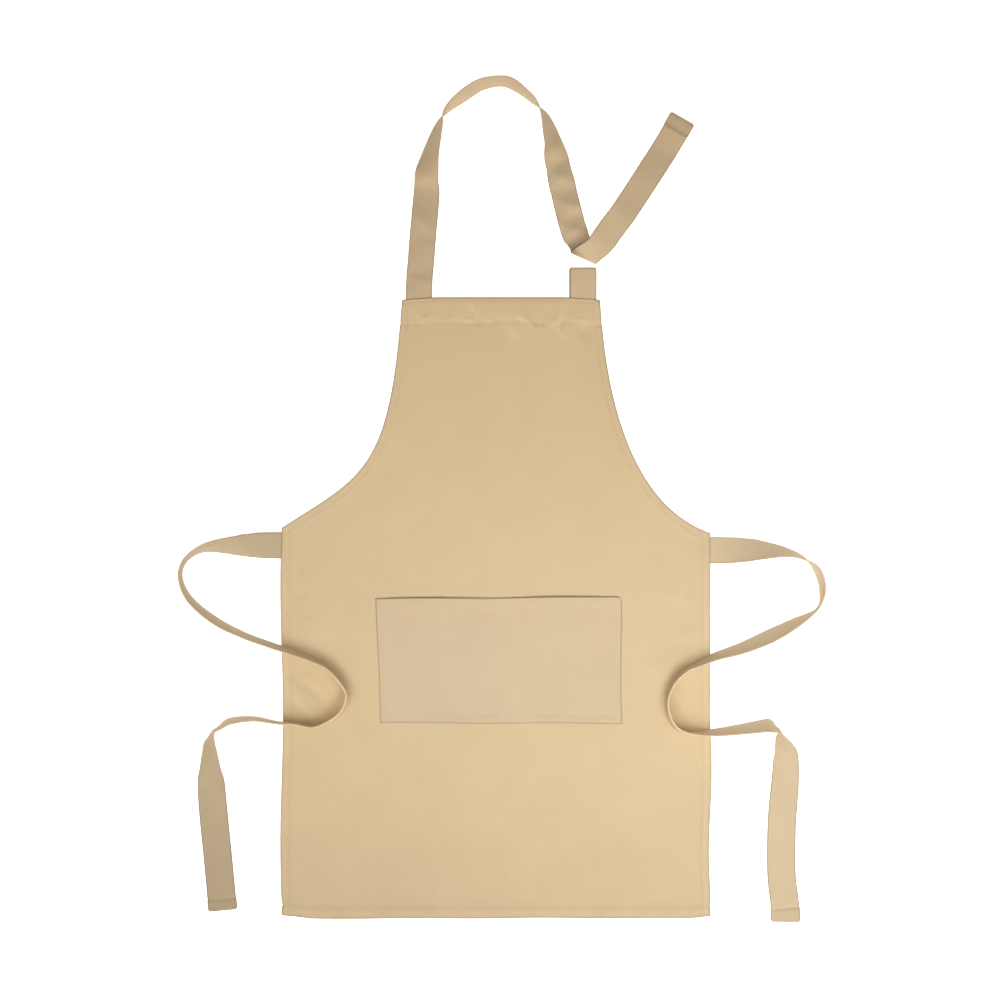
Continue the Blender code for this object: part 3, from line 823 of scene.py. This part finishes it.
def pocket_edge_shift(across, up):
    """How far the pocket's edges wander: its mouth sags between the ends and its sides bow a little."""
    mouth = up**6
    sag = 0.5 * MM * np.sin(across * 9.5 + 0.4) * np.sin(math.pi * across)
    dx = 0.5 * MM * np.sin(5 * up) * (1 - 2 * across)
    dy = sag * mouth + 0.4 * MM * np.sin(11 * across) * (1 - up) ** 6
    return dx, dy


def pocket_plan(across, up):
    """Where a point of the pocket lies on the panel."""
    top = np.outer(1 - across, POCKET_CORNERS["top_left"]) + np.outer(across, POCKET_CORNERS["top_right"])
    foot = np.outer(1 - across, POCKET_CORNERS["foot_left"]) + np.outer(across, POCKET_CORNERS["foot_right"])
    plan = foot * (1 - up)[:, None] + top * up[:, None]
    dx, dy = pocket_edge_shift(across, up)
    plan[:, 0] += dx
    plan[:, 1] += dy
    from_right = np.linalg.norm(POCKET_CORNERS["top_right"] - POCKET_CORNERS["top_left"]) * (1 - across)
    reach = np.clip(1 - from_right / POCKET_ROUNDING, 0, 1)
    plan[:, 1] -= POCKET_ROUNDING * (1 - np.sqrt(1 - reach**2)) * smoothstep(up, 0.93, 1)
    return plan


def pocket_height(across, up, plan):
    """The height of the pocket's outer face over the floor."""
    half = (across * 2) % 1.0
    slack = np.sin(math.pi * half) ** 1.6 * POCKET_SLACK * np.sin(up * math.pi / 2) ** 1.3
    gape = POCKET_GAPE * smoothstep(up, 0.9, 1) * smoothstep(across, 0, 0.04) * smoothstep(across, 1, 0.96)
    width = POCKET_CORNERS["top_right"][0] - POCKET_CORNERS["top_left"][0]
    length = POCKET_CORNERS["top_left"][1] - POCKET_CORNERS["foot_left"][1]
    sides = np.minimum(across, 1 - across) * width
    foot = up * length
    seam = np.minimum(sides, foot)
    fold = 0.7 * MM * smoothstep(seam, 7.5 * MM, 5.5 * MM)
    hem = 0.9 * MM * smoothstep((1 - up) * length, POCKET_HEM + 1 * MM, POCKET_HEM - 1 * MM)
    grooves = 0.25 * MM * bump(seam, POCKET_ROW_INSET, 0.9 * MM)
    grooves += 0.25 * MM * bump((1 - up) * length, POCKET_HEM - 0.8 * MM, 0.9 * MM)
    grooves += 0.35 * MM * bump((across - 0.5) * width, 0, 1.2 * MM)
    x, y = plan[:, 0], plan[:, 1]
    waves = 0.22 * MM * ripple(x, y, 21, 45 * MM) * smoothstep(seam, 2 * MM, 20 * MM)
    pucker = 0.16 * MM * ripple(x * 1.6, y, 8, 14 * MM) * bump((1 - up) * length, POCKET_HEM, 5 * MM)
    base = panel_top(plan) + POCKET_GAP + CLOTH
    return base + slack + gape + np.maximum(fold, hem) - grooves + waves + pucker


def pocket_surface(across, up, above=0.0):
    """Points on the pocket's outer face: across and up run from 0 to 1 over the cloth."""
    across, up = np.asarray(across, float), np.asarray(up, float)
    plan = pocket_plan(across, up)
    return np.column_stack([plan, pocket_height(across, up, plan) + above])


def graded(count, fine):
    """Steps from 0 to 1, with extra ones close to both ends at the given places."""
    return np.unique(np.round(np.r_[np.linspace(0, 1, count), fine, 1 - np.array(fine)], 6))


def build_pocket():
    """The patch pocket: slack cloth over two compartments, flat at its three sewn edges and its divider."""
    width, length = POCKET_WIDTH, POCKET_LENGTH
    columns = graded(int(width / POCKET_CELL), [0.0006, 0.0018, 0.004, 0.0065])
    rows = graded(int(length / POCKET_CELL), [0.0012, 0.0036, 0.008, 0.013])
    across, up = [g.ravel() for g in np.meshgrid(columns, rows)]
    top = pocket_surface(across, up)
    edge = np.minimum(np.minimum(across, 1 - across) * width, np.minimum(up, 1 - up) * length)
    drop = CLOTH_ROLL * (1 - roundness(edge, CLOTH_ROLL))
    mouth_edge = (1 - up) * length
    double = 0.5 * MM * smoothstep(mouth_edge, POCKET_HEM + 1 * MM, POCKET_HEM - 1 * MM)
    under = top.copy()
    under[:, 2] -= CLOTH + double
    top[:, 2] -= drop
    under[:, 2] = np.minimum(under[:, 2] + 0.6 * drop, top[:, 2] - 0.1 * MM)
    n = len(columns)
    last = (len(rows) - 1) * n
    faces = [(a, a + 1, a + n + 1, a + n) for r in range(0, last, n) for a in range(r, r + n - 1)]
    border = list(range(n)) + [r * n + n - 1 for r in range(1, len(rows))]
    border += [last + c for c in range(n - 2, -1, -1)] + [r * n for r in range(len(rows) - 2, 0, -1)]
    verts, all_faces = closed_sheet(top, under, faces, border)
    pocket = add_mesh("pocket_cloth", verts, all_faces, pocket_twill)
    shade_rim(pocket, edge)
    dress(pocket, "body", "pocket_cloth", "pocket_panel")


# ---- straps


def smooth_route(route):
    """Even stations on the smooth curve through a route's own points, and how far along each is."""
    points = np.array([route[0], *route, route[-1]], float)
    dense = []
    for i in range(len(route) - 1):
        t = np.linspace(0, 1, 40, endpoint=False)[:, None]
        a, b, c, d = points[i : i + 4]
        dense.append(
            a * (-t + 2 * t**2 - t**3) / 2
            + b * (2 - 5 * t**2 + 3 * t**3) / 2
            + c * (t + 4 * t**2 - 3 * t**3) / 2
            + d * (t**3 - t**2) / 2
        )
    dense = np.vstack(dense + [points[-1:]])
    dense[:, :3] *= MM
    lengths = travelled(dense[:, :2])
    places = np.linspace(0, lengths[-1], int(round(lengths[-1] / STATION_STEP)) + 1)
    return along(dense, places, lengths), places


def strap_frames(route):
    """The centre, half-width vector, face normal and place along of each station of a strap."""
    stations, places = smooth_route(route)
    angle = np.radians(stations[:, 3])
    lift = np.maximum(stations[:, 2], 0)
    middle = lift + STRAP_WIDTH / 2 * np.abs(np.sin(angle)) + STRAP_THICKNESS / 2 * np.abs(np.cos(angle))
    centre = np.column_stack([stations[:, :2], middle])
    way = unit(np.gradient(centre[:, :2], axis=0))
    side = np.column_stack([way[:, 1], -way[:, 0], np.zeros(len(way))])
    width = side * np.cos(angle)[:, None] + UP * np.sin(angle)[:, None]
    normal = unit(np.cross(width, unit(np.gradient(centre, axis=0))))
    return {"centre": centre, "half": width * STRAP_WIDTH / 2, "normal": normal, "place": places}


def split(frames, *stations):
    """A strap's stations cut into runs that share the stations where they meet."""
    ends = [0, *stations, len(frames["place"]) - 1]
    return [{key: values[a : b + 1] for key, values in frames.items()} for a, b in zip(ends, ends[1:])]


def joined(*parts):
    """Several runs of stations as one strap."""
    return {key: np.concatenate([part[key] for part in parts]) for key in parts[0]}


# Where a strap's lines of vertices run across it, as shares of its half width.
HALF_COLUMNS = np.array((0, 3, 6, 9, 10.4, 11.2, 11.9, 12.3, 12.5)) / 12.5
STRAP_COLUMNS = np.r_[-HALF_COLUMNS[:0:-1], HALF_COLUMNS]


def build_strap(name, frames, body, nodes=(), waves=None, swell=None, tone=(), slant=0.0, free_end=False):
    """A flat strap lofted through its stations, with rolled edges, a soft wave in its faces, and painted
    light and shade in its colour.
    """
    centre, half, normal, place = (frames[key] for key in ("centre", "half", "normal", "place"))
    count, columns = len(centre), len(STRAP_COLUMNS)
    across = np.r_[STRAP_COLUMNS, STRAP_COLUMNS[-2:0:-1]]
    turns = len(across)
    face = np.where(np.arange(turns) < columns, 1, -1)
    offset = across * STRAP_WIDTH / 2
    edge = (1 - np.abs(across)) * STRAP_WIDTH / 2
    depth = STRAP_THICKNESS / 2 * roundness(edge, STRAP_THICKNESS / 2)
    depth -= EDGE_CHANNEL * bump(edge, 2.0 * MM, 0.5 * MM)
    thick, wide = swell(place) if swell else (np.ones(count), np.ones(count))
    level = face * depth * thick[:, None]
    if waves:
        level = level + waves(place[:, None], offset[None, :])
    near_end = np.clip(1 - (place[-1] - place) / END_REACH, 0, 1) ** 2
    corner = near_end[:, None] * (1 - roundness(edge, END_CORNER)) * (END_CORNER if free_end else 0)
    onward = unit(np.gradient(centre, axis=0))
    spots = centre[:, None] + half[:, None] * across[:, None] * wide[:, None, None]
    spots = spots + normal[:, None] * level[..., None] - onward[:, None] * corner[..., None]
    spots[..., 2] = np.maximum(spots[..., 2], LOWEST)
    faces = ring_faces(count, turns)
    for base, order in ((0, 1), ((count - 1) * turns, -1)):
        for i in range(columns - 1):
            quad = dict.fromkeys((i, (turns - i) % turns, turns - i - 1, i + 1))
            faces.append(tuple(base + spot for spot in quad)[::order])
    strap = add_mesh(name, spots.reshape(-1, 3), faces, strap_twill)
    sharpen(strap, range(turns), range((count - 1) * turns, count * turns))
    # painted shade: a dark outline along the rolled edges where the strap lies flat, none where it stands on
    # edge
    flatness = normal[:, 2:] ** 2
    shade(strap, (smoothstep(edge, RIM_WIDTH, 0.2 * MM) * flatness).ravel())
    # painted highlight: a lighter top rim where the strap stands on edge
    rim_highlights = RIM_LIGHT * smoothstep(edge, RIM_WIDTH, 0.6 * MM) * (1 - flatness)
    # painted light and shade from the tone table, with its bands slanted across the strap
    tone_places = (place[:, None] - slant * across * STRAP_WIDTH / 2) / MM
    shade(strap, (np.interp(tone_places, *zip(*tone)) + rim_highlights).ravel(), "tone")
    weave = np.empty((count, turns, 2), np.float32)
    weave[..., 0] = offset + np.where(face < 0, BACK_WEAVE_SHIFT, 0)
    weave[..., 1] = place[:, None]
    corners = np.empty(len(strap.data.loops), int)
    strap.data.loops.foreach_get("vertex_index", corners)
    layer = strap.data.uv_layers.new(name="weave")
    layer.data.foreach_set("uv", weave.reshape(-1, 2)[corners].ravel())
    length = float(np.linalg.norm(np.diff(centre, axis=0), axis=1).sum())
    dress(strap, body, "strap_cloth", *nodes)


# ---- stitches


def stitch_mesh(spots):
    """One mesh of short threads, each as (middle, way, up)."""
    tube = ring_faces(len(STITCH_PROFILE), STITCH_SIDES)
    first = tuple(range(STITCH_SIDES))
    last = tuple((len(STITCH_PROFILE) - 1) * STITCH_SIDES + side for side in reversed(first))
    verts, faces = [], []
    for middle, way, up in spots:
        base = len(verts)
        across = np.cross(way, up)
        for share, girth, arch in STITCH_PROFILE:
            hub = middle + way * share * STITCH_LENGTH + up * arch * STITCH_RADIUS
            for side in range(STITCH_SIDES):
                angle = 2 * math.pi * side / STITCH_SIDES
                reach = across * math.cos(angle) + up * math.sin(angle) * 0.8
                verts.append(hub + reach * girth * STITCH_RADIUS)
        for quad in [(a, d, c, b) for a, b, c, d in tube] + [first, last]:
            faces.append(tuple(base + corner for corner in quad))
    return verts, faces


def row_spots(path, up=UP, pitch=STITCH_PITCH):
    """The stitches along a path of points on the cloth, each as (middle, way, up)."""
    path = even_points(np.asarray(path, float), 0.5 * MM)
    total = travelled(path)[-1]
    count = max(1, int(total / pitch))
    knots = along(path, (total - count * pitch) / 2 + pitch * np.arange(count + 1))
    spots = []
    for a, b in zip(knots, knots[1:]):
        way = (b - a) / np.linalg.norm(b - a)
        face = up - way * np.dot(up, way)
        spots.append(((a + b) / 2, way, face / np.linalg.norm(face)))
    return spots


def build_stitches(row, spots, body="body"):
    """A row of stitches that stands for a CAD thread."""
    verts, faces = stitch_mesh(spots)
    stitches = add_mesh(row + "_stitches", verts, faces, cotton_thread)
    dress(stitches, body, "thread", row + "_thread")


def on_panel(plan, above=0.1 * MM):
    """Points of a plan on the panel's front face."""
    plan = np.asarray(plan, float)
    return np.column_stack([plan, panel_top(plan) + above])


def edge_row(name, start, end):
    """The stitched path inside one stretch of the panel's edge, between two shares of its length."""
    path = body_edge[name]
    row = path + inward(path, closed=False) * (HEMS[name] - ROW_INSET)
    first, last = int(start * (len(row) - 1)), int(end * (len(row) - 1))
    return row_spots(on_panel(even_points(row[first : last + 1], 1.5 * MM)))


def anchor_row(a, b):
    """Close stitches straight across the panel."""
    return row_spots(on_panel(even_points(np.array((a, b)), 1 * MM)), pitch=ANCHOR_PITCH)


def build_panel_stitches():
    """The rows that hold the panel's hems and the straps in them."""
    half_bib = BIB_WIDTH / 2 - 2.5 * MM
    x = np.linspace(BIB_LEAN - half_bib, BIB_LEAN + half_bib, 120)
    y = BIB_SEAM_Y + 0.35 * MM * np.sin(x / (19 * MM)) + 0.2 * MM * np.sin(x / (7 * MM))
    build_stitches("bib_hem", row_spots(on_panel(np.column_stack([x, y]))))
    build_stitches("bottom_hem", edge_row("bottom", 1 - ROW_END, ROW_END))
    for side in ("left", "right"):
        for stretch, row, start in (("_side", "_side_hem", 0.125), ("_armhole", "_armhole", 0.09)):
            shares = (start, ROW_END) if side == "left" else (1 - ROW_END, 1 - start)
            build_stitches(side + row, edge_row(side + stretch, *shares))
    half_tie = STRAP_WIDTH / 2 - 1.5 * MM
    for side, out, route, *_ in TIES:
        outer, inner = (out * (BODY_WIDTH / 2 - inset) for inset in (2.4 * MM, 8 * MM))
        high, low = (route[0][1] * MM + half for half in (half_tie, -half_tie))
        box = ((outer, high), (inner, high), (inner, low), (outer, low), (outer, high))
        spots = [spot for a, b in zip(box, box[1:]) for spot in anchor_row(a, b)]
        build_stitches(side + "_tie_anchor", spots)
    y = WAIST_TO_BIB_TOP - 2.2 * MM
    for name, x in (("neck_strap", NECK_STRAP_X), ("loop_tab", TAB_CENTRE_X)):
        build_stitches(name + "_anchor", anchor_row((x - half_tie, y), (x + half_tie, y)))


def build_pocket_stitches():
    """The pocket's rows: round three sides, up the divider and along the mouth's hem."""
    side, foot = POCKET_ROW_INSET / POCKET_WIDTH, POCKET_ROW_INSET / POCKET_LENGTH
    mouth = 1 - (POCKET_HEM - 0.8 * MM) / POCKET_LENGTH

    def row(across, up, count):
        """Stitches between two shares across the pocket and two up it."""
        return row_spots(pocket_surface(np.linspace(*across, count), np.linspace(*up, count), 0.1 * MM))

    seam = row((side, side), (0.985, foot), 80)
    seam += row((side, 1 - side), (foot, foot), 150)
    seam += row((1 - side, 1 - side), (foot, 0.965), 80)
    build_stitches("pocket_seam", seam)
    build_stitches("pocket_divider", row((0.5, 0.5), (2 * foot, mouth - foot), 80))
    build_stitches("pocket_mouth", row((2.5 * side, 1 - 2.5 * side), (mouth, mouth), 150))


# ---- neck strap, tail and tab

CREASE_WAY = np.array((0.909, -0.416, 0.0))
CREASE_MIDDLE = np.array((84.6, 260.5, 0.0)) * MM
CREASE_HALF = 13.75 * MM
CREASE_ROLL = 1.0 * MM
FOLD_LENGTH = 3.2
FOLD_BLEND = 26 * MM
FOLD_REACH = 9 * MM


def turned_half(frames, distance):
    """Half-width vectors that swing from square across the strap to the crease's way at distance 0."""
    share = smoothstep(distance, FOLD_BLEND, 0)[:, None]
    crease = -CREASE_WAY * CREASE_HALF
    return frames["half"] * (1 - share) + crease * share


def roll_frames(place, steps=9):
    """Stations round the rolled crease, from the under layer to the upper one."""
    turn = np.linspace(0, math.pi, steps)[1:-1]
    out = np.array((CREASE_WAY[1], -CREASE_WAY[0], 0.0))
    base = CREASE_MIDDLE + UP * STRAP_THICKNESS / 2
    centre = base + np.outer(np.sin(turn), out) * CREASE_ROLL + np.outer(1 - np.cos(turn), UP) * CREASE_ROLL
    normal = np.outer(np.cos(turn), UP) - np.outer(np.sin(turn), out)
    half = np.tile(-CREASE_WAY * CREASE_HALF, (len(turn), 1))
    return {"centre": centre, "half": half, "normal": normal, "place": place + turn * CREASE_ROLL}


def strap_waves(rows, bulges=()):
    """The relief of waves and bulges, given as those of the ties are."""

    def raised(place, across):
        total = np.zeros(np.broadcast(place, across).shape)
        for at, length, slant, height in rows:
            total = total + height * MM * np.exp(-(((place + slant * across) / MM - at) / length) ** 2)
        crown = 1 - (across / (STRAP_WIDTH / 2)) ** 2
        for at, length, height in bulges:
            total = total + height * MM * crown * np.exp(-((place / MM - at) / length) ** 2)
        return total

    return raised


def end_swell(total, hem, spread=None):
    """How a strap thickens and widens where its end is turned under, and how it spreads on its way there."""

    def swell(place):
        thick = 1 + 0.55 * smoothstep(place, total - hem - 0.8 * MM, total - hem + 0.8 * MM)
        wide = 1 + 0.03 * smoothstep(place, total - hem - 2 * MM, total - hem + 1 * MM)
        if spread:
            start, stop, width = spread
            wide = wide * (1 + (width / STRAP_WIDTH - 1) * smoothstep(place, start, stop))
        return thick, wide

    return swell


def bend_across(lower, upper, x, y, start, end):
    """Where cloth that bends up about a line across it starts and stops to follow the upper body."""
    return (lower, upper, (x, y + start, 0), (x, y + end, 0))


def build_neck_strap():
    """The neck strap from behind the bib's left corner, round to the fold, and its tail from there."""
    neck = strap_frames(NECK_STRAP_ROUTE)
    before = neck["place"][-1] - neck["place"]
    neck["half"] = turned_half(neck, before)
    tail_route = ((84.6, 260.5, 2.0, 0),) + STRAP_TAIL_ROUTE
    tail = strap_frames(tail_route)
    narrowed = 1 - 0.13 * bump(tail["place"], 12 * MM, 8 * MM)
    tail["half"] = turned_half({"half": -tail["half"] * narrowed[:, None]}, tail["place"])
    tail["normal"] = -tail["normal"]
    bend_end = int(np.argmax(neck["centre"][:, 1] > WAIST_TO_BIB_TOP + 18 * MM))
    fold_begin = int(np.argmax(before < FOLD_REACH))
    root, leg, fold_start = split(neck, bend_end, fold_begin)
    tail["place"] = tail["place"] + neck["place"][-1] + math.pi * CREASE_ROLL
    fold_stop = int(np.argmax(tail["place"] > tail["place"][0] + FOLD_REACH))
    fold_end, rest = split(tail, fold_stop)
    fold = joined(fold_start, roll_frames(neck["place"][-1]), fold_end)
    turn = neck["place"][-1] / MM
    waves = strap_waves(
        (
            (28.5, 4.5, 0.3, 1.1),
            (60, 5, -0.4, 0.8),
            (84, 5.5, 0.8, 1.7),
            (128, 9, 0.3, 2.6),
            (turn - 107, 8, 0.6, 1.4),
            (turn - 81, 7, 0.6, 2.5),
            (turn - 54, 7, 0.6, 2.7),
            (turn - 28, 7, 0.6, 2.6),
            (turn + 52, 11, -0.3, 0.7),
            (turn + 92, 11, 0.4, 0.7),
            (turn + 128, 9, 0.3, 0.5),
        )
    )
    root_bend = bend_across("body", "neck_strap", NECK_STRAP_X, WAIST_TO_BIB_TOP + 0.4 * MM, -1 * MM, 8 * MM)
    tones = NECK_TONES + tuple((turn + place, tone) for place, tone in FOLD_TONES)
    tones += tuple((turn + FOLD_LENGTH + place, tone) for place, tone in TAIL_TONES)
    looks = {"tone": tones, "slant": 0.45}
    build_strap("neck_strap_root", root, root_bend, waves=waves, **looks)
    build_strap("neck_strap_cloth", leg, "neck_strap", ("neck_strap",), waves=waves, **looks)
    crease = tuple(CREASE_MIDDLE[:2])
    fold_bend = ("neck_strap", "strap_tail", (*crease, 1.6 * MM), (*crease, 2.0 * MM))
    build_strap("neck_strap_fold", fold, fold_bend, **looks)
    total = rest["place"][-1]
    hem = (total - TAIL_ROWS["lower"]) / MM
    looks = {"waves": waves, "swell": end_swell(total, TAIL_HEM), "free_end": True}
    looks["tone"] = tones + tuple((hem + place, tone) for place, tone in TAIL_HEM_TONES)
    build_strap("strap_tail_cloth", rest, "strap_tail", ("strap_tail",), **looks)
    return rest


def build_loop_tab():
    """The short strap folded back on itself behind the bib's right corner."""
    seam = WAIST_TO_BIB_TOP
    turn = np.linspace(0, 1, 44)
    out = np.sin(math.pi * turn) ** 0.8
    spread = 1.6 * MM * np.sin(math.pi * np.clip(out, 0, 1))
    gap = (0.45 * MM + spread + (TAB_APART - 0.45 * MM) * out**3) * 0.5
    x = TAB_CENTRE_X - 0.9 * MM * smoothstep(turn, 0.56, 0.44)
    z = 1.15 * MM + TAB_APART * 0.35 * out + np.where(turn < 0.5, -1, 1) * gap
    loop = np.column_stack([x, seam + TAB_REACH * out, z])
    under, upper = ((TAB_CENTRE_X, seam - 9 * MM, height) for height in (0.55 * MM, 1.3 * MM))
    centre = even_points(np.vstack([under, loop, upper]), 1.0 * MM)
    width = np.tile(np.array((1.0, 0, 0)), (len(centre), 1))
    narrow = 1 - 0.05 * smoothstep(centre[:, 1], seam + TAB_REACH - 2.5 * MM, seam + TAB_REACH)
    frames = {
        "centre": centre,
        "half": width * STRAP_WIDTH / 2 * narrow[:, None],
        "normal": np.cross(width, unit(np.gradient(centre, axis=0))),
        "place": travelled(centre),
    }
    middle = float(frames["place"][-1]) / MM / 2
    # painted shade on the under leaf, easing off past the fold
    tones = ((0, -0.3), (middle - 2, -0.3), (middle + 1, -0.25), (middle + 4, 0.0), (2 * middle, 0.03))

    def half_thick(place):
        """Each leaf of the tab has half a strap's thickness."""
        return np.full(len(place), 0.5), np.ones(len(place))

    bend = bend_across("body", "loop_tab", TAB_CENTRE_X, seam, -1 * MM, 6 * MM)
    build_strap("loop_tab_cloth", frames, bend, ("loop_tab",), swell=half_thick, tone=tones)


def build_ties():
    """The two waist ties: each root in the side hem, its loop, the bend and the end that hangs from it."""
    for side, out, route, hinge_y, hem, tones in TIES:
        frames = strap_frames(route)
        x, y = np.abs(frames["centre"][:, 0]), frames["centre"][:, 1]
        first = int(np.argmax(x > TWIST_END + 6 * MM))
        second = int(np.max(np.nonzero(y > hinge_y + KNEE_HALF)))
        third = int(np.max(np.nonzero(y > hinge_y - KNEE_HALF)))
        root, loop, knee, tail = split(frames, first, second, third)
        tie, tie_end = side + "_tie", side + "_tie_end"
        twist = ("body", tie, (out * BODY_WIDTH / 2, 0, 0), (out * TWIST_END, 0, 0))
        bend = bend_across(tie, tie_end, float(knee["centre"][0][0]), hinge_y, KNEE_HALF / 2, -KNEE_HALF / 2)
        bent = knee["place"][0]
        hem_at = tail["place"][-1] / MM - hem / MM
        last = tones[-1][1]
        looks = {
            "swell": end_swell(tail["place"][-1], hem, (bent - 15 * MM, bent + 35 * MM, TIE_END_WIDTH)),
            "tone": tones[:-1] + tuple((hem_at + place, last + tone) for place, tone in TIE_HEM_TONES),
            "waves": strap_waves(TIE_WAVES[side], TIE_BULGES[side]),
        }
        build_strap(tie + "_root", root, twist, **looks)
        build_strap(tie + "_cloth", loop, tie, (tie,), **looks)
        build_strap(tie + "_bend", knee, bend, **looks)
        build_strap(tie_end + "_cloth", tail, tie_end, (tie_end,), free_end=True, **looks)
        yield tie_end, across_row(tail, hem - 1 * MM)


def across_row(frames, inset):
    """A row of stitches across the end of a strap, on the face that shows."""
    at = int(np.argmin(np.abs(frames["place"] - (frames["place"][-1] - inset))))
    centre, half = frames["centre"][at], frames["half"][at]
    face = frames["normal"][at] * (1 if frames["normal"][at][2] > 0 else -1)
    shares = np.linspace(-0.9, 0.9, 30)[:, None]
    path = centre + half * shares + face * (STRAP_THICKNESS / 2 * 1.4 + 0.12 * MM)
    return row_spots(path, up=face, pitch=2.3 * MM)


# ---- build

build_body(build_turned_hems())
build_pocket()
build_panel_stitches()
build_pocket_stitches()
tail_end = build_neck_strap()
build_loop_tab()
for tie_end, spots in list(build_ties()):
    build_stitches(tie_end, spots, tie_end)
for row, inset in TAIL_ROWS.items():
    build_stitches("strap_tail_" + row, across_row(tail_end, inset), "strap_tail")


# ---- floor, lights and camera

# Each soft light's name, place, what it points at, width, beam angle in degrees, power and tint.
SOFTBOXES = (
    ("left_softbox", (-0.52, -0.55, 1.45), (-0.29, -0.23, 0), 0.75, 38, 0.83, (0.86, 0.935, 1.02)),
    ("right_softbox", (0.54, -0.55, 1.45), (0.34, -0.27, 0), 0.75, 38, 1.24, (0.86, 0.935, 1.02)),
    ("foot_softbox", (0.05, -0.9, 1.8), (0.02, 0.55, 0), 0.9, 38, 1.58, (0.92, 0.925, 0.95)),
)
FILL = 0.35
FILL_TINT = (1.0, 0.9, 0.76)
FLOOR_REACH = 3.0
FLOOR_DROP = 0.3 * MM
LENS = 400.0
VIEW_WIDTH = 0.9615
VIEW_CENTRE = (0.00385, 0.02692)
CLOTH_HEIGHT = 8 * MM


def build_studio():
    """A pale floor, three soft beams from the foot side, a warm fill and a camera looking down."""
    make = NodeMaterial("studio_floor")
    grain = make.noise(make.add("TexCoord", {}, out="Object"), 60, 3.0)
    shades = {0: grain, 6: (0.93, 0.93, 0.93, 1), 7: (0.96, 0.96, 0.96, 1)}
    looks = {"Base Color": make.add("Mix", shades, out=2, data_type="RGBA"), "Roughness": 0.9}
    material = make.finish(looks | {"Emission Color": (1, 1, 1, 1), "Emission Strength": 0.75})
    square = ((-1, -1), (1, -1), (1, 1), (-1, 1))
    corners = [(x * FLOOR_REACH, y * FLOOR_REACH, -FLOOR_DROP) for x, y in square]
    floor = add_mesh("studio_floor", corners, [(0, 1, 2, 3)], material, smooth=False)

    for name, place, target, size, spread, power, tint in SOFTBOXES:
        lamp = bpy.data.lights.new(name, "AREA")
        lamp.shape = "DISK"
        lamp.size = size
        lamp.spread = math.radians(spread)
        lamp.energy = power
        lamp.color = tint
        light = bpy.data.objects.new(name, lamp)
        light.location = place
        light.rotation_euler = (Vector(target) - Vector(place)).to_track_quat("-Z", "Y").to_euler()
        bpy.context.scene.collection.objects.link(light)

    world = bpy.data.worlds.new("studio")
    world.use_nodes = True
    world.node_tree.nodes["Background"].inputs["Color"].default_value = (*FILL_TINT, 1)
    world.node_tree.nodes["Background"].inputs["Strength"].default_value = FILL
    bpy.context.scene.world = world

    # a long lens for an almost parallel view, VIEW_WIDTH across at the height of the cloth
    camera = bpy.data.cameras.new("camera")
    camera.lens = LENS
    eye = bpy.data.objects.new("camera", camera)
    eye.location = (*VIEW_CENTRE, CLOTH_HEIGHT + VIEW_WIDTH * LENS / camera.sensor_width)
    bpy.context.scene.collection.objects.link(eye)
    bpy.context.scene.camera = eye
    bpy.context.scene.view_settings.view_transform = "Standard"


build_studio()
